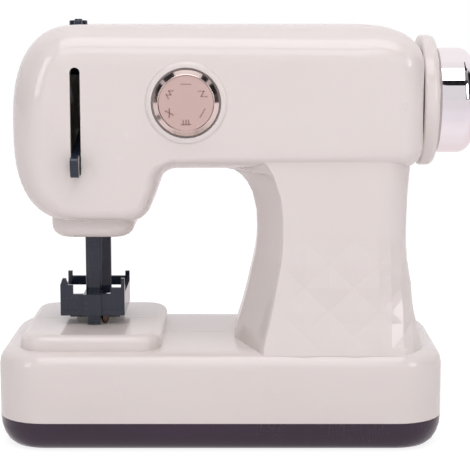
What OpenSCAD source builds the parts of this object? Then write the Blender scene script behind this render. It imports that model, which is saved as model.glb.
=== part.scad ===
// Toy sewing machine: a hollow body in a front and a back half on a dark tray. The hand wheel
// turns a crank in the head, the crank lifts the needle bar, and the bar swings the take-up lever.

/* [Base] */
// length of the base
base_len = 164.4; // [163:0.2:166]
// depth of the base, front to back
base_dep = 80; // [79:0.5:82]
// height of the base's top face
base_top_z = 36.5; // [36.1:0.1:36.9]
// height of the dark tray
tray_h = 10.9; // [10.6:0.1:11.2]
// how far the tray's round edge draws in at the floor
tray_edge_r = 6.5; // [6:0.25:7]
// corner radius of the base in plan
base_corner_r = 18; // [17:0.5:19]
// rounding of the base's top edge
base_edge_r = 6; // [5:0.25:6.5]
// wall of every moulding
wall = 2.2; // [2.1:0.05:2.3]

/* [Bed] */
// gap from the base's left end to the bed
bed_in = 8.2; // [7.8:0.1:8.6]
// length of the raised bed
bed_len = 52; // [51:0.5:53]
// half depth of the raised bed
bed_half_y = 34; // [33:0.25:34.5]
// height of the bed above the base
bed_rise = 5.6; // [5.5:0.1:5.7]
// corner radius of the bed in plan
bed_corner_r = 9; // [8:0.25:10]
// rounding of the bed's top edge
bed_edge_r = 3; // [2.5:0.25:3.5]

/* [Head and arm] */
// gap from the base's left end to the head
head_in = 5.5; // [5.2:0.1:5.8]
// gap from the base's right end to the arm's right end
arm_gap = 8.1; // [7.8:0.1:8.4]
// height of the gap between the base and the arm
throat_h = 65.5; // [65:0.1:66]
// height of the arm
arm_h = 52.6; // [52.2:0.1:53]
// how far the head reaches below the arm
head_drop = 18.9; // [18.6:0.1:19.2]
// half depth of the arm
arm_half_y = 31; // [30.8:0.1:31.4]
// rounding of the arm's long edges
arm_edge_r = 14; // [13:0.25:14.5]
// rounding of the head's left end, along the depth
left_edge_y = 18; // [17:0.25:19]
// rounding of the arm's right end
end_edge_r = 9; // [8.5:0.25:9.5]
// depth of the bevel under the arm
under_y = 17; // [16:0.25:17.5]
// height of the bevel under the arm
under_z = 5.2; // [5:0.1:5.4]
// rounding under the head, inwards
low_edge_z = 5; // [4.6:0.1:5.4]
// rounding under the head, along the depth
low_edge_y = 8; // [7.5:0.1:8.5]
// width of the head's round left end
head_round_w = 25; // [24.6:0.1:25.4]
// drop from the arm's top to where the head is widest
head_mid = 36; // [35.6:0.1:36.4]
// width of the arm's round shoulder
shoulder_w = 22.8; // [22:0.2:23.6]
// height of the arm's round shoulder
shoulder_h = 14.5; // [14:0.1:15]
// width of the head where it meets the arch
head_w = 53.7; // [53.4:0.1:54]
// radius of the head's lower right corner
head_low_r = 8.5; // [8.2:0.1:8.8]
// radius of the arch's upper left corner
arch_r = 6.5; // [6.3:0.1:6.7]
// radius of the arm's lower right corner
end_low_r = 8; // [7.6:0.1:8.4]
// shape number of the head's upper left curve
head_top_power = 2.45; // [2.3:0.05:2.6]
// shape number of the head's lower left curve
head_low_power = 2.6; // [2.5:0.05:2.7]
// shape number of the shoulder's curve
shoulder_power = 2.2; // [2.1:0.05:2.3]
// gap from the head's left end to the nose
nose_in = 13.7; // [13.4:0.1:14]
// length of the nose
nose_len = 30.8; // [30.5:0.1:31.1]
// half depth of the nose
nose_half_y = 22; // [21.6:0.1:22.4]
// height of the nose below the head
nose_h = 6.8; // [6.6:0.05:7]
// rounding of the nose's lower edge
nose_edge_r = 4.6; // [4.4:0.05:4.8]
// corner radius of the nose in plan
nose_corner_r = 9; // [8.6:0.1:9.4]

/* [Column] */
// gap from the base's right end to the waist
waist_gap = 13.3; // [13:0.1:13.6]
// width of the waist
waist_w = 54.9; // [54.6:0.1:55.2]
// how far the left side flares at the foot
flare_left = 9; // [8.6:0.1:9.4]
// how far the right side flares at the foot
flare_right = 6; // [5.7:0.1:6.3]
// how far the arch reaches left at the top
arch_reach = 18; // [17.6:0.1:18.4]
// width of the bevel between the arch and the panel
bevel_w = 8.4; // [8.1:0.1:8.7]
// half depth of the column at the top
col_half_y = 29.4; // [29.2:0.05:29.6]
// how far the front flares at the foot
flare_front = 8.1; // [7.8:0.1:8.4]
// half depth of the flat inside the arch
inner_flat_y = 9; // [8.7:0.1:9.3]
// corner radius of the column's right side in plan
col_corner_r = 12; // [11.6:0.1:12.4]
// rounding of the panel's left edge
panel_edge_r = 0.6; // [0.5:0.05:0.8]
// half width of a diamond in the pattern
diamond_w = 9.1; // [8.9:0.05:9.3]
// half height of a diamond in the pattern
diamond_h = 8.6; // [8.4:0.05:8.8]
// height of the diamonds above the panel
diamond_rise = 0.55; // [0.5:0.05:0.65]
// height of the pattern's upper corners above the base
diamond_up = 40.4; // [40.1:0.1:40.7]
// first corner of the pattern, from the waist's left side
diamond_in = 16.6; // [16.3:0.1:16.9]

/* [Hand wheel] */
// drop from the arm's top to the shaft
shaft_drop = 28.4; // [28.2:0.05:28.6]
// radius of the shaft
shaft_r = 2.5; // [2.4:0.05:2.6]
// radius of the cream collar
collar_r = 24.5; // [24.1:0.1:24.9]
// width of the collar
collar_w = 5.5; // [5.4:0.05:5.6]
// rounding of the collar
collar_edge_r = 2.6; // [2.5:0.05:2.7]
// length of the knob
knob_len = 15; // [14.5:0.1:15.5]
// radius of the knob over its corners
knob_r = 19.8; // [19.4:0.1:20.2]
// length of the knob's rounded end
knob_edge = 4.6; // [4.4:0.05:4.8]
// how far the knob's end draws in
knob_draw = 7.5; // [7:0.1:8]
// number of flats on the knob
knob_flats = 24; // [20:1:28]

/* [Dial and button] */
// the dial's axis, from the base's left end
dial_in = 70.05; // [69.8:0.05:70.3]
// drop from the arm's top to the dial's axis
dial_drop = 27.7; // [27.5:0.05:27.9]
// radius of the dial
dial_r = 12.05; // [11.9:0.05:12.2]
// radius of the dial's face
dial_face_r = 10.1; // [10:0.05:10.2]
// how far the dial stands out of the arm
dial_out = 2.6; // [2.5:0.05:2.7]
// outer radius of the raised ring around the dial
ring_r = 14.9; // [14.7:0.05:15.1]
// height of the ring above the arm's front
ring_out = 0.8; // [0.7:0.05:0.9]
// width of the ring's rounding
ring_edge = 1.7; // [1.6:0.05:1.8]
// depth of the dial's seat in the arm
seat_d = 1.7; // [1.65:0.01:1.75]
// height of the dial's marks
mark_h = 0.25; // [0.22:0.01:0.3]
// the button's axis, from the base's left end
button_in = 28.7; // [28.6:0.05:28.8]
// radius of the button
button_r = 3.4; // [3.3:0.05:3.5]
// height of the button above the arm
button_out = 1.5; // [1.4:0.05:1.6]
// travel of the button
button_travel = 1.4; // [1.3:0.05:1.4]

/* [Needle and lever] */
// the needle bar's axis, from the base's left end
bar_in = 33.8; // [33.7:0.05:33.9]
// how far the needle bar stands in front of the middle
bar_y = 3; // [2.9:0.05:3.1]
// width of the needle bar
bar_w = 6.2; // [6.1:0.05:6.3]
// depth of the needle bar, front to back
bar_dep = 8; // [7.8:0.05:8.2]
// width of the rib along the bar's right side
rib_w = 3.1; // [3:0.05:3.2]
// how far the rib stands back from the bar's front
rib_back = 2.6; // [2.5:0.05:2.7]
// rounding of the bar's front edges
bar_edge_r = 1.2; // [1.1:0.05:1.3]
// crank radius, half the needle's stroke
crank_r = 6.5; // [6.4:0.05:6.5]
// the crank's left face, from the base's left end
crank_in = 49.3; // [49.2:0.05:49.4]
// width of the foot
foot_w = 24.2; // [24:0.05:24.4]
// half depth of the foot
foot_half_y = 14.6; // [14.4:0.05:14.8]
// how far the foot's middle stands behind the machine's middle
foot_y = 1; // [0.9:0.05:1.1]
// height of the foot's underside above the bed
foot_gap = 3.6; // [3.5:0.05:3.7]
// height of the foot's front wall
foot_h = 11.7; // [11.6:0.05:11.8]
// height of the foot's front corners above its wall
prong_h = 2.5; // [2.4:0.05:2.6]
// wall of the foot
foot_wall = 1.6; // [1.5:0.05:1.7]
// the slot's axis, from the base's left end
slot_in = 30.2; // [30.1:0.05:30.3]
// width of the slot
slot_w = 3.7; // [3.7:0.05:3.9]
// gap between the lever's finger and the slot's ends
slot_gap = 0.5; // [0.45:0.05:0.7]
// how much further the slot reaches down
slot_over = 1.2; // [1:0.1:1.4]
// width of the take-up lever
lever_w = 3.1; // [3:0.05:3.1]
// half height of the lever's finger
finger_half = 3.7; // [3.6:0.05:3.75]
// how far the lever reaches out of the arm
lever_out = 8.4; // [8.2:0.1:8.8]
// gap from the lever's pivot to the arm's back
pivot_gap = 7; // [6.9:0.05:7.1]
// drop from the arm's top to the lever's pivot
pivot_drop = 34.3; // [34.2:0.05:34.4]

/* [Drive] */
// module of the gears
gear_module_w = 0.8; // [0.79:0.005:0.81]
// teeth of the shaft's gear
shaft_teeth = 30; // [30:1:30]
// teeth of the double gear's small wheel
small_teeth = 10; // [10:1:10]
// teeth of the double gear's large wheel
large_teeth = 26; // [26:1:26]
// teeth of the motor's pinion
pinion_teeth = 8; // [8:1:8]
// width of a gear
gear_w = 4.6; // [4.5:0.05:4.7]
// left face of the double gear, from the waist's left side
gear_in = 0.8; // [0.7:0.05:0.9]
// radius of the motor's can
motor_r = 10.05; // [10:0.05:10.1]
// height of the motor's can over its flats
motor_flat = 15.4; // [15.3:0.05:15.5]
// length of the motor's can
motor_len = 25; // [24.8:0.1:25.2]
// radius of the battery cells
cell_r = 7.2; // [7.1:0.05:7.25]
// length of the battery cells
cell_len = 50; // [49.8:0.1:50.2]

/* [Fits] */
// running gap between a shaft and its bore
run_gap = 0.05; // [0.04:0.01:0.07]
// gap between parts that are fitted together
fit_gap = 0.02; // [0.02:0.01:0.03]
// gap between round parts that move apart
free_gap = 0.3; // [0.3:0.05:0.35]
// half of the seam between the body's halves
seam = 0.1; // [0.08:0.01:0.12]
// radius of a screw's shank
screw_r = 1.25; // [1.2:0.05:1.3]
// radius of a screw's head
screw_head_r = 2.5; // [2.4:0.05:2.6]
// radius of the posts that take the screws
post_r = 3.2; // [3.1:0.05:3.3]

/* [Hidden] */
// overrun of every cut
cut = 1;
// thickness of the thin slices that a hull joins
slice = 0.02;
// facets of round edges outside, inside and in small holes
round_fn = 32;
inner_fn = 16;
hole_fn = 12;
$fn = 64;

cream = [0.86, 0.82, 0.80];
dark_brown = [0.25, 0.20, 0.24];
slate = [0.19, 0.21, 0.24];
rose = [0.83, 0.70, 0.66];
steel = [0.70, 0.71, 0.72];
copper = [0.72, 0.42, 0.26];
nylon = [0.90, 0.89, 0.84];

// places along the length, with the knob's end as far from the middle as the base's left end
collar_gap = free_gap * 2;
x_left = -(base_len - arm_gap + collar_gap + collar_w + knob_len) / 2;
x_right = x_left + base_len;
arm_x = x_right - arm_gap;
collar_x = arm_x + collar_gap;
knob_x = collar_x + collar_w;
x_end = knob_x + knob_len;
waist_right = x_right - waist_gap;
waist_left = waist_right - waist_w;
crank_x = x_left + crank_in;
bed_x = x_left + bed_in;
head_x = x_left + head_in;
head_cx = head_x + head_round_w;
nose_x = head_x + nose_in;
dial_x = x_left + dial_in;
button_x = x_left + button_in;
bar_x = x_left + bar_in;
slot_x = x_left + slot_in;
gear_x = waist_left + gear_in;

// heights
bed_top_z = base_top_z + bed_rise;
arm_low_z = base_top_z + throat_h;
arm_top_z = arm_low_z + arm_h;
head_low_z = arm_low_z - head_drop;
head_mid_z = arm_top_z - head_mid;
nose_z = head_low_z - nose_h;
shaft_z = arm_top_z - shaft_drop;
dial_z = arm_top_z - dial_drop;
pivot_z = arm_top_z - pivot_drop;
diamond_z = base_top_z + diamond_up;

// the lever swings as far above its pivot as below, and the slot follows its finger
pivot_y = arm_half_y - pivot_gap;
lever_len = pivot_y + arm_half_y + lever_out;
tilt = atan(crank_r / pivot_y);
slot_reach = (pivot_y + arm_half_y) * tan(tilt) + finger_half / cos(tilt) + slot_gap;
slot_top_z = pivot_z + slot_reach;
slot_low_z = pivot_z - slot_reach - slot_over;

// Curves and lofts

function side_normal(a, b) = let (d = b - a) [d[1], -d[0]] / norm(d);
function corner_normal(p, i) =
    let (n = len(p), m = side_normal(p[(i + n - 1) % n], p[i]) + side_normal(p[i], p[(i + 1) % n]))
    m * 2 / (m * m);
function power_x(a, t, n) = a * pow(max(cos(t), 0), 2 / n);
function power_z(b, t, n) = b * pow(max(sin(t), 0), 2 / n);
function mix(a, b, s) = a + (b - a) * s;
function flat_list(rings) = [for (r = rings) for (p = r) p];

// closed solid through rings of points: front to back when upright is true, otherwise low to high;
// turned says which four-sided patches are split along the other diagonal
module loft(rings, upright, turned = function(i, j) false) {
    m = len(rings[0]);
    k = len(rings);
    sides = [for (j = [0 : k - 2]) for (i = [0 : m - 1])
        let (a = j * m + i, b = j * m + (i + 1) % m, c = b + m, d = a + m)
        each upright ? [[a, b, c], [a, c, d]]
            : turned(i, j) ? [[a, d, b], [b, d, c]] : [[a, d, c], [a, c, b]]];
    first = upright ? [for (i = [m - 1 : -1 : 0]) i] : [for (i = [0 : m - 1]) i];
    last = upright ? [for (i = [0 : m - 1]) (k - 1) * m + i] : [for (i = [m - 1 : -1 : 0]) (k - 1) * m + i];
    polyhedron(flat_list(rings), concat(sides, [first, last]), convexity = 8);
}

// coil spring standing on z = 0, from radius r0 to r1, in round wire
coil_sides = 6;
coil_rings = 8;
function coil_ring(r, z, a, wire) = [for (i = [0 : coil_sides - 1]) let (b = 360 * i / coil_sides)
    [(r + wire * sin(b)) * cos(a), (r + wire * sin(b)) * sin(a), z + wire * cos(b)]];
module coil(r0, r1, height, turns, wire) {
    n = turns * coil_rings;
    loft([for (i = [0 : n])
        coil_ring(mix(r0, r1, i / n), mix(wire, height - wire, i / n), 360 * turns * i / n, wire)], false);
}

// half section of a turned corner with a round top edge
function top_round(r, low, high, e, n) =
    concat([[0, low], [r, low]],
        [for (i = [0 : n]) let (a = 90 * i / n) [r - e + e * cos(a), high - e + e * sin(a)]],
        [[0, high]]);
// half section of a turned corner with a round lower edge
function low_round(r, low, high, ex, ez, n) =
    concat([[0, low]],
        [for (i = [0 : n]) let (a = 90 * i / n) [r - ex + ex * sin(a), low + ez - ez * cos(a)]],
        [[r, high], [0, high]]);

// box with turned corners: x and half depth are the outer sizes, r the corner radius in plan
module round_box(x0, x1, half_y, r, profile, fn = round_fn) {
    hull()
        for (x = [x0 + r, x1 - r], y = [-half_y + r, half_y - r])
            translate([x, y, 0]) rotate_extrude($fn = fn) polygon(profile);
}

module along_x(x, y, z) { translate([x, y, z]) rotate([0, 90, 0]) children(); }
module along_y(x, y, z) { translate([x, y, z]) rotate([-90, 0, 0]) children(); }

// Head and arm: an outline with its own rounding at each point, as x, z, inward and depth rounding

left_steps = 14;
end_steps = 10;
corner_steps = 5;
arch_steps = 7;
arch_from = 175;
corner_to = -10;
head_side_x = head_x + head_w;
// how far the head's lower corner stands back from its side, as a share of that corner's radius
arch_share = 1.24;
arm_outline = concat(
    [for (i = [1 : corner_steps]) let (a = -90 + 90 * i / corner_steps, s = i / corner_steps)
        [arm_x - end_low_r + end_low_r * cos(a), arm_low_z + end_low_r + end_low_r * sin(a),
            mix(under_z, end_edge_r, s), mix(under_y, end_edge_r, s)]],
    [for (i = [0 : end_steps]) let (t = 90 * i / end_steps, s = i / end_steps)
        [arm_x - shoulder_w + power_x(shoulder_w, t, shoulder_power),
            arm_top_z - shoulder_h + power_z(shoulder_h, t, shoulder_power),
            mix(end_edge_r, arm_edge_r, s), mix(end_edge_r, arm_edge_r, s)]],
    [for (i = [left_steps : -1 : 1]) let (t = 90 * i / left_steps)
        [head_cx - power_x(head_round_w, t, head_top_power),
            head_mid_z + power_z(arm_top_z - head_mid_z, t, head_top_power),
            arm_edge_r, mix(left_edge_y, arm_edge_r, i / left_steps)]],
    [for (i = [0 : left_steps]) let (t = 90 * i / left_steps, s = i / left_steps)
        [head_cx - power_x(head_round_w, t, head_low_power),
            head_mid_z - power_z(head_mid_z - head_low_z, t, head_low_power),
            mix(arm_edge_r, low_edge_z, s), mix(left_edge_y, low_edge_y, s)]],
    [for (i = [0 : corner_steps]) let (a = mix(-90, corner_to, i / corner_steps))
        [head_side_x - arch_share * head_low_r + head_low_r * cos(a),
            head_low_z + head_low_r + head_low_r * sin(a),
            low_edge_z, low_edge_y]],
    [for (i = [0 : arch_steps]) let (a = mix(arch_from, 90, i / arch_steps), s = i / arch_steps)
        [head_side_x + arch_r + arch_r * cos(a), arm_low_z - arch_r + arch_r * sin(a),
            mix(low_edge_z, under_z, s), mix(low_edge_y, under_y, s)]]);

function arm_rings(inset, steps) =
    let (p = [for (q = arm_outline) [q[0], q[1]]],
        n = [for (i = [0 : len(p) - 1]) corner_normal(p, i)],
        half = arm_half_y - inset,
        ring = function(side, k) [for (i = [0 : len(p) - 1])
            let (a = 90 * k / steps, ri = max(arm_outline[i][2] - inset, inset),
                ry = max(arm_outline[i][3] - inset, inset),
                q = p[i] - n[i] * (inset + ri * (1 - cos(a))))
            [q[0], side * (half - ry + ry * sin(a)), q[1]]])
    concat([for (k = [steps : -1 : 0]) ring(-1, k)], [for (k = [0 : steps]) ring(1, k)]);

// Column: rings in plan; the shares are taken along its height and in parts of the flares

col_low_z = base_top_z - wall / 2;
col_high_z = arm_low_z + under_z + wall;
z_shares = [0, 0.07, 0.16, 0.27, 0.39, 0.51, 0.61, 0.74, 0.85, 0.91, 0.95, 0.98, 1, 1.03, 1.06, 1.09];
left_shares = [1, 0.87, 0.66, 0.45, 0.25, 0.06, 0, 0, 0, 0, 0, 0, 0, 0, 0, 0];
arch_shares = [0, 0, 0, 0, 0, 0, 0, 0.02, 0.11, 0.22, 0.34, 0.50, 0.90, 1.3, 1.5, 1.65];
right_shares = [1, 0.78, 0.55, 0.33, 0.16, 0.05, 0, 0.02, 0.06, 0.10, 0.13, 0.16, 0.18, 0.2, 0.21, 0.22];
front_shares = [1, 0.83, 0.64, 0.47, 0.31, 0.2, 0.13, 0.07, 0.035, 0.02, 0.015, 0.01, 0, 0, 0, 0];
panel_shares = [0, 0, 0, 0, 0, 0, 0, 0, 0.1, 0.26, 0.36, 0.44, 0.54, 0.68, 0.92, 1.6];
// the rings above the pattern, along the column's height
upper_shares = [0.74, 0.85, 0.91, 0.95, 0.98, 1, 1.03, 1.06, 1.09];
flare_bevel_share = 0.82;
bevel_bow_share = 0.46;
function share_at(z, shares) = lookup((z - base_top_z) / (arm_low_z - base_top_z),
    [for (i = [0 : len(z_shares) - 1]) [z_shares[i], shares[i]]]);

// Diamonds: low four-sided points that wrap round the panel and its corner. The rings and their
// points lie on the pattern's corners, middles and peaks, counted in half diamonds.
diamond_rows = 5;
outer_cols = [-1 : 0.5 : 6];
inner_cols = [-1, 1, 3, 4, 5, 6];
function wave(p) = 1 - abs(p - 2 * floor(p / 2) - 1);
function diamond(u, v) = v < 0 || (v < 1 && abs(u - 2 * round(u / 2)) > v) ? 0
    : min(wave(u + v), wave(u - v));
// point of the panel at a length along it, round the corner and on along the right side
function panel_point(length, out, xr, fy, r) =
    let (past = length - xr + r, a = past / r * 180 / PI)
    past < 0 ? [length, fy + out]
        : a < 90 ? [xr - r + (r + out) * sin(a), fy - r + (r + out) * cos(a)]
        : [xr + out, fy - r - past + r * PI / 2];
edge_points = 5;

function col_ring(z, inset) =
    let (left = share_at(z, left_shares), panel = share_at(z, panel_shares),
        xl = waist_left - flare_left * left - arch_reach * share_at(z, arch_shares) + inset,
        xp = waist_left + bevel_w * (1 - panel) - flare_left * flare_bevel_share * left
            + inset * 3 / 4,
        xr = waist_right + flare_right * share_at(z, right_shares) - inset,
        fy = col_half_y + flare_front * share_at(z, front_shares) - inset,
        iy = inner_flat_y - inset / 2, r = col_corner_r - inset, e = panel_edge_r,
        v = (diamond_z - z) / diamond_h,
        half = concat(
            [[xl, iy / 2], [xl, iy], [mix(xl, xp, bevel_bow_share), mix(iy, fy, 1 / 2)],
                [xp - e, fy - e * 2], [xp + e, fy]],
            [for (u = inset > 0 ? inner_cols : outer_cols)
                let (x = max(waist_left + diamond_in + u * diamond_w, xp + e * 2),
                    out = inset > 0 ? 0 : diamond_rise * diamond(u, v) * min(1, (x - xp) / diamond_w))
                panel_point(x, out, xr, fy, r)],
            [[xr, iy / 2]]))
    concat([for (q = half) [q[0], -q[1], z]],
        [for (k = [len(half) - 1 : -1 : 0]) [half[k][0], half[k][1], z]]);

module column(inset) {
    step = inset > 0 ? 1 : 1 / 2;
    pattern = [for (v = [diamond_rows : -step : 0]) max(col_low_z, diamond_z - v * diamond_h)];
    upper = [for (t = upper_shares) let (z = mix(base_top_z, arm_low_z, t)) if (z > diamond_z) z];
    rings = [for (z = concat(pattern, upper, [col_high_z])) col_ring(z, inset)];
    m = len(rings[0]);
    // the patches of each diamond are split along its edges, mirrored on the back
    loft(rings, false, function(i, j)
        let (front = i < m / 2 - 1, k = front ? i : m - 2 - i,
            odd = abs(floor((k - edge_points) / 2) + floor(j / 2)) % 2 == 1)
        front ? odd : !odd);
}

edge_steps = 5;
function fn_for(inset) = inset > 0 ? inner_fn : round_fn;
function steps_for(inset) = inset > 0 ? 2 : edge_steps;
module base_block(inset) {
    round_box(x_left + inset, x_right - inset, base_dep / 2 - inset, base_corner_r - inset,
        top_round(base_corner_r - inset, tray_h - (inset > 0 ? cut : 0), base_top_z - inset,
            base_edge_r - inset / 2, steps_for(inset)), fn_for(inset));
}
module bed_block(inset) {
    round_box(bed_x + inset, bed_x + bed_len - inset, bed_half_y - inset, bed_corner_r - inset,
        top_round(bed_corner_r - inset, base_top_z - base_edge_r, bed_top_z - inset, bed_edge_r - inset / 2,
            steps_for(inset)), fn_for(inset));
}
module nose_block(inset) {
    round_box(nose_x + inset, nose_x + nose_len - inset, nose_half_y - inset, nose_corner_r - inset,
        low_round(nose_corner_r - inset, nose_z + inset, head_low_z + head_low_r, nose_edge_r - inset / 2,
            nose_edge_r - inset / 2, steps_for(inset)), fn_for(inset));
}
module body_solid(inset, steps) {
    loft(arm_rings(inset, steps), true);
    column(inset);
    base_block(inset);
    bed_block(inset);
    nose_block(inset);
}
outer_steps = 6;
inner_steps = 2;

// Posts, ribs and rails inside the body, as x and z from the base's left end and the floor

// height of the column's post, along the column
post_share = 0.44;
post_spots = [
    [head_x + arch_r * 5 / 3, head_mid_z],
    [waist_left - slot_w * 4, arm_top_z - nose_corner_r],
    [waist_right - post_r * 4, arm_top_z - nose_corner_r - wall],
    [waist_left + col_corner_r * 5 / 2, mix(base_top_z, arm_low_z, post_share)],
    [x_left + base_corner_r, base_top_z - nose_corner_r],
    [x_right - nose_corner_r, base_top_z - nose_corner_r]];
post_seats = [for (p = post_spots) (p[1] < base_top_z ? base_dep / 2 : arm_half_y) - screw_head_r * 2];
foot_posts = [for (x = [x_left + bed_corner_r * 2, x_right - bed_corner_r * 2], y = [-1, 1])
    [x, y * (base_dep / 2 - bed_corner_r * 2)]];
foot_post_z = tray_h + wall / 2;
screw_tip = screw_head_r * 4;
tray_screw_len = 12.8;

bush_r = 4.5;
bush_w = 3.4;
crank_w = 3;
bush_gap = 1.7;
// the middles of the two bushes, beside the crank's hub and in the arm's right end
bush_spots = [crank_x + crank_w * 2 + bush_gap + (bush_w + wall) / 2, arm_x - end_edge_r];
rail_w = 1.3;
bracket_w = 2;
bracket_x = gear_x + gear_w * 2 + free_gap * 8;
bracket_half_y = 24;
bracket_low_z = shaft_z - motor_r
    - gear_module_w * (shaft_teeth + small_teeth + large_teeth + pinion_teeth) / 2;
bracket_high_z = arm_low_z + under_z * 9 / 4;
gear_z = shaft_z - gear_module_w * (shaft_teeth + small_teeth) / 2;
motor_z = gear_z - gear_module_w * (large_teeth + pinion_teeth) / 2;
ear_w = 2.4;
pin_r = 1.5;
lever_gap = 0.35;
rod_x = bar_x + pin_r * 1.4;
rod_y = 9;
rod_cap_z = arm_top_z - wall * 5;
switch_drop = 11.7;
switch_top_z = arm_top_z - switch_drop;
switch_h = 7;
switch_half = 4.2;
pip_r = 1.6;
ring_fn = 48;
ring_steps = 4;
dial_axle_r = 3;

module inner_work(side) {
    intersection() {
        body_solid(wall / 2, inner_steps);
        union() {
            for (p = post_spots)
                hull() {
                    along_y(p[0], side < 0 ? -base_dep / 2 : seam, p[1])
                        cylinder(h = base_dep / 2 - seam, r = post_r, $fn = hole_fn);
                    along_y(p[0], side < 0 ? -base_dep / 2 : base_dep / 2 - slice, p[1])
                        cylinder(h = slice, r = post_r + wall / 2, $fn = hole_fn);
                }
            for (p = foot_posts)
                if (p[1] * side > 0)
                    translate([p[0], p[1], foot_post_z])
                        cylinder(h = base_top_z, r = post_r, $fn = hole_fn);
            for (x = bush_spots)
                translate([x - bush_w / 2, side < 0 ? -arm_half_y : seam, shaft_z - motor_r])
                    cube([bush_w, arm_half_y - seam, motor_r * 2]);
            for (x = [bracket_x - run_gap - rail_w, bracket_x + bracket_w + run_gap])
                translate([x, side < 0 ? -arm_half_y : bracket_half_y - rail_w * 2, bracket_low_z])
                    cube([rail_w, arm_half_y - bracket_half_y + rail_w * 2,
                        bracket_high_z - bracket_low_z]);
            if (side < 0)
                along_y(dial_x, -arm_half_y + seat_d, dial_z)
                    cylinder(h = wall * 5 / 4, r = ring_r + wall, $fn = round_fn);
            if (side > 0) {
                for (x = [slot_x - lever_w / 2 - lever_gap - ear_w, slot_x + lever_w / 2 + lever_gap])
                    translate([x, pivot_y - pin_r * 2, pivot_z - pin_r * 2.5])
                        cube([ear_w, arm_half_y - pivot_y + pin_r * 2, pin_r * 5]);
                translate([rod_x - pin_r * 2.3, rod_y - pin_r * 2, rod_cap_z - wall])
                    cube([pin_r * 4.6, arm_half_y, wall * 2]);
                translate([button_x - switch_half, -switch_half, switch_top_z - switch_h - wall])
                    cube([switch_half * 2, arm_half_y + switch_half, wall]);
            }
        }
    }
}

module body_cuts() {
    // slot of the take-up lever
    hull()
        for (z = [slot_low_z + slot_w / 2, slot_top_z - slot_w / 2])
            along_y(slot_x, -arm_half_y - cut, z) cylinder(h = wall * 3, r = slot_w / 2, $fn = 32);
    // seat and axle hole of the dial
    along_y(dial_x, -arm_half_y - ring_out - cut, dial_z)
        cylinder(h = cut + ring_out + seat_d, r = dial_r + free_gap * 2, $fn = ring_fn);
    along_y(dial_x, -arm_half_y, dial_z) cylinder(h = wall * 4, r = dial_axle_r + free_gap, $fn = 32);
    // hole of the button
    translate([button_x, 0, arm_top_z - wall * 2])
        cylinder(h = wall * 3, r = button_r + free_gap, $fn = 32);
    // hole of the needle bar
    translate([bar_x - bar_w / 2 - free_gap, -bar_y - bar_dep / 2 - free_gap, nose_z - cut])
        cube([bar_w + rib_w + free_gap * 2, bar_dep + free_gap * 2, wall + cut * 2]);
    // hole of the shaft, and the bushes
    along_x(arm_x - wall * 4, 0, shaft_z) cylinder(h = wall * 5, r = shaft_r + free_gap * 4, $fn = 32);
    for (x = bush_spots)
        along_x(x - bush_w, 0, shaft_z) cylinder(h = bush_w * 2, r = bush_r + free_gap / 2, $fn = round_fn);
    // moulding mark near the arm's right end
    along_y(arm_x - shoulder_w / 3, -arm_half_y - cut, shaft_z - pip_r / 2) difference() {
        cylinder(h = cut + free_gap, r = pip_r, $fn = inner_fn);
        cylinder(h = cut * 2, r = pip_r / 3, $fn = hole_fn);
    }
    // holes of the screws
    for (i = [0 : len(post_spots) - 1]) {
        along_y(post_spots[i][0], -screw_tip - free_gap * 2, post_spots[i][1])
            cylinder(h = base_dep, r = screw_r + free_gap / 2, $fn = hole_fn);
        along_y(post_spots[i][0], post_seats[i], post_spots[i][1])
            cylinder(h = base_dep / 2, r = screw_head_r + free_gap, $fn = hole_fn);
    }
    for (p = foot_posts)
        translate([p[0], p[1], foot_post_z - cut])
            cylinder(h = tray_screw_len, r = screw_r + free_gap / 2, $fn = hole_fn);
    // pin of the lever and the guide rod
    along_x(slot_x - lever_w * 2, pivot_y, pivot_z)
        cylinder(h = lever_w * 4, r = pin_r + free_gap / 2, $fn = 32);
    translate([rod_x, rod_y, rod_cap_z - wall * 2])
        cylinder(h = wall * 3, r = pin_r + free_gap / 2, $fn = 32);
}
module half_space(side) {
    translate([x_left - base_len, side < 0 ? -base_len - seam : seam, -base_len])
        cube([base_len * 3, base_len, base_len * 3]);
}

// raised ring around the dial, rounded outside
module dial_ring() {
    along_y(dial_x, -arm_half_y - ring_out, dial_z) rotate_extrude($fn = ring_fn) polygon(concat(
        [[0, 0]],
        [for (i = [0 : ring_steps]) let (a = -90 + 90 * i / ring_steps)
            [ring_r - ring_edge + ring_edge * cos(a), (ring_out + free_gap) * (1 + sin(a))]],
        [[ring_r, ring_out + wall / 2], [0, ring_out + wall / 2]]));
}

module body_half(side) {
    difference() {
        union() {
            if (side < 0) dial_ring();
            intersection() {
                difference() {
                    union() body_solid(0, outer_steps);
                    union() body_solid(wall, inner_steps);
                }
                half_space(side);
            }
            intersection() {
                inner_work(side);
                half_space(side);
            }
        }
        body_cuts();
    }
}

module front_shell() { color(cream) union() body_half(-1); }
module back_shell() { color(cream) union() body_half(1); }

// Tray, battery bay and what it holds

bay_in = 25.2;
bay_x = x_left + bay_in;
bay_len = cell_len + wall * 4;
bay_half_y = cell_r * 2 + wall / 2;
bay_z = wall + cell_r * 2 + wall / 2;
cover_lip = 1.6;
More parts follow.
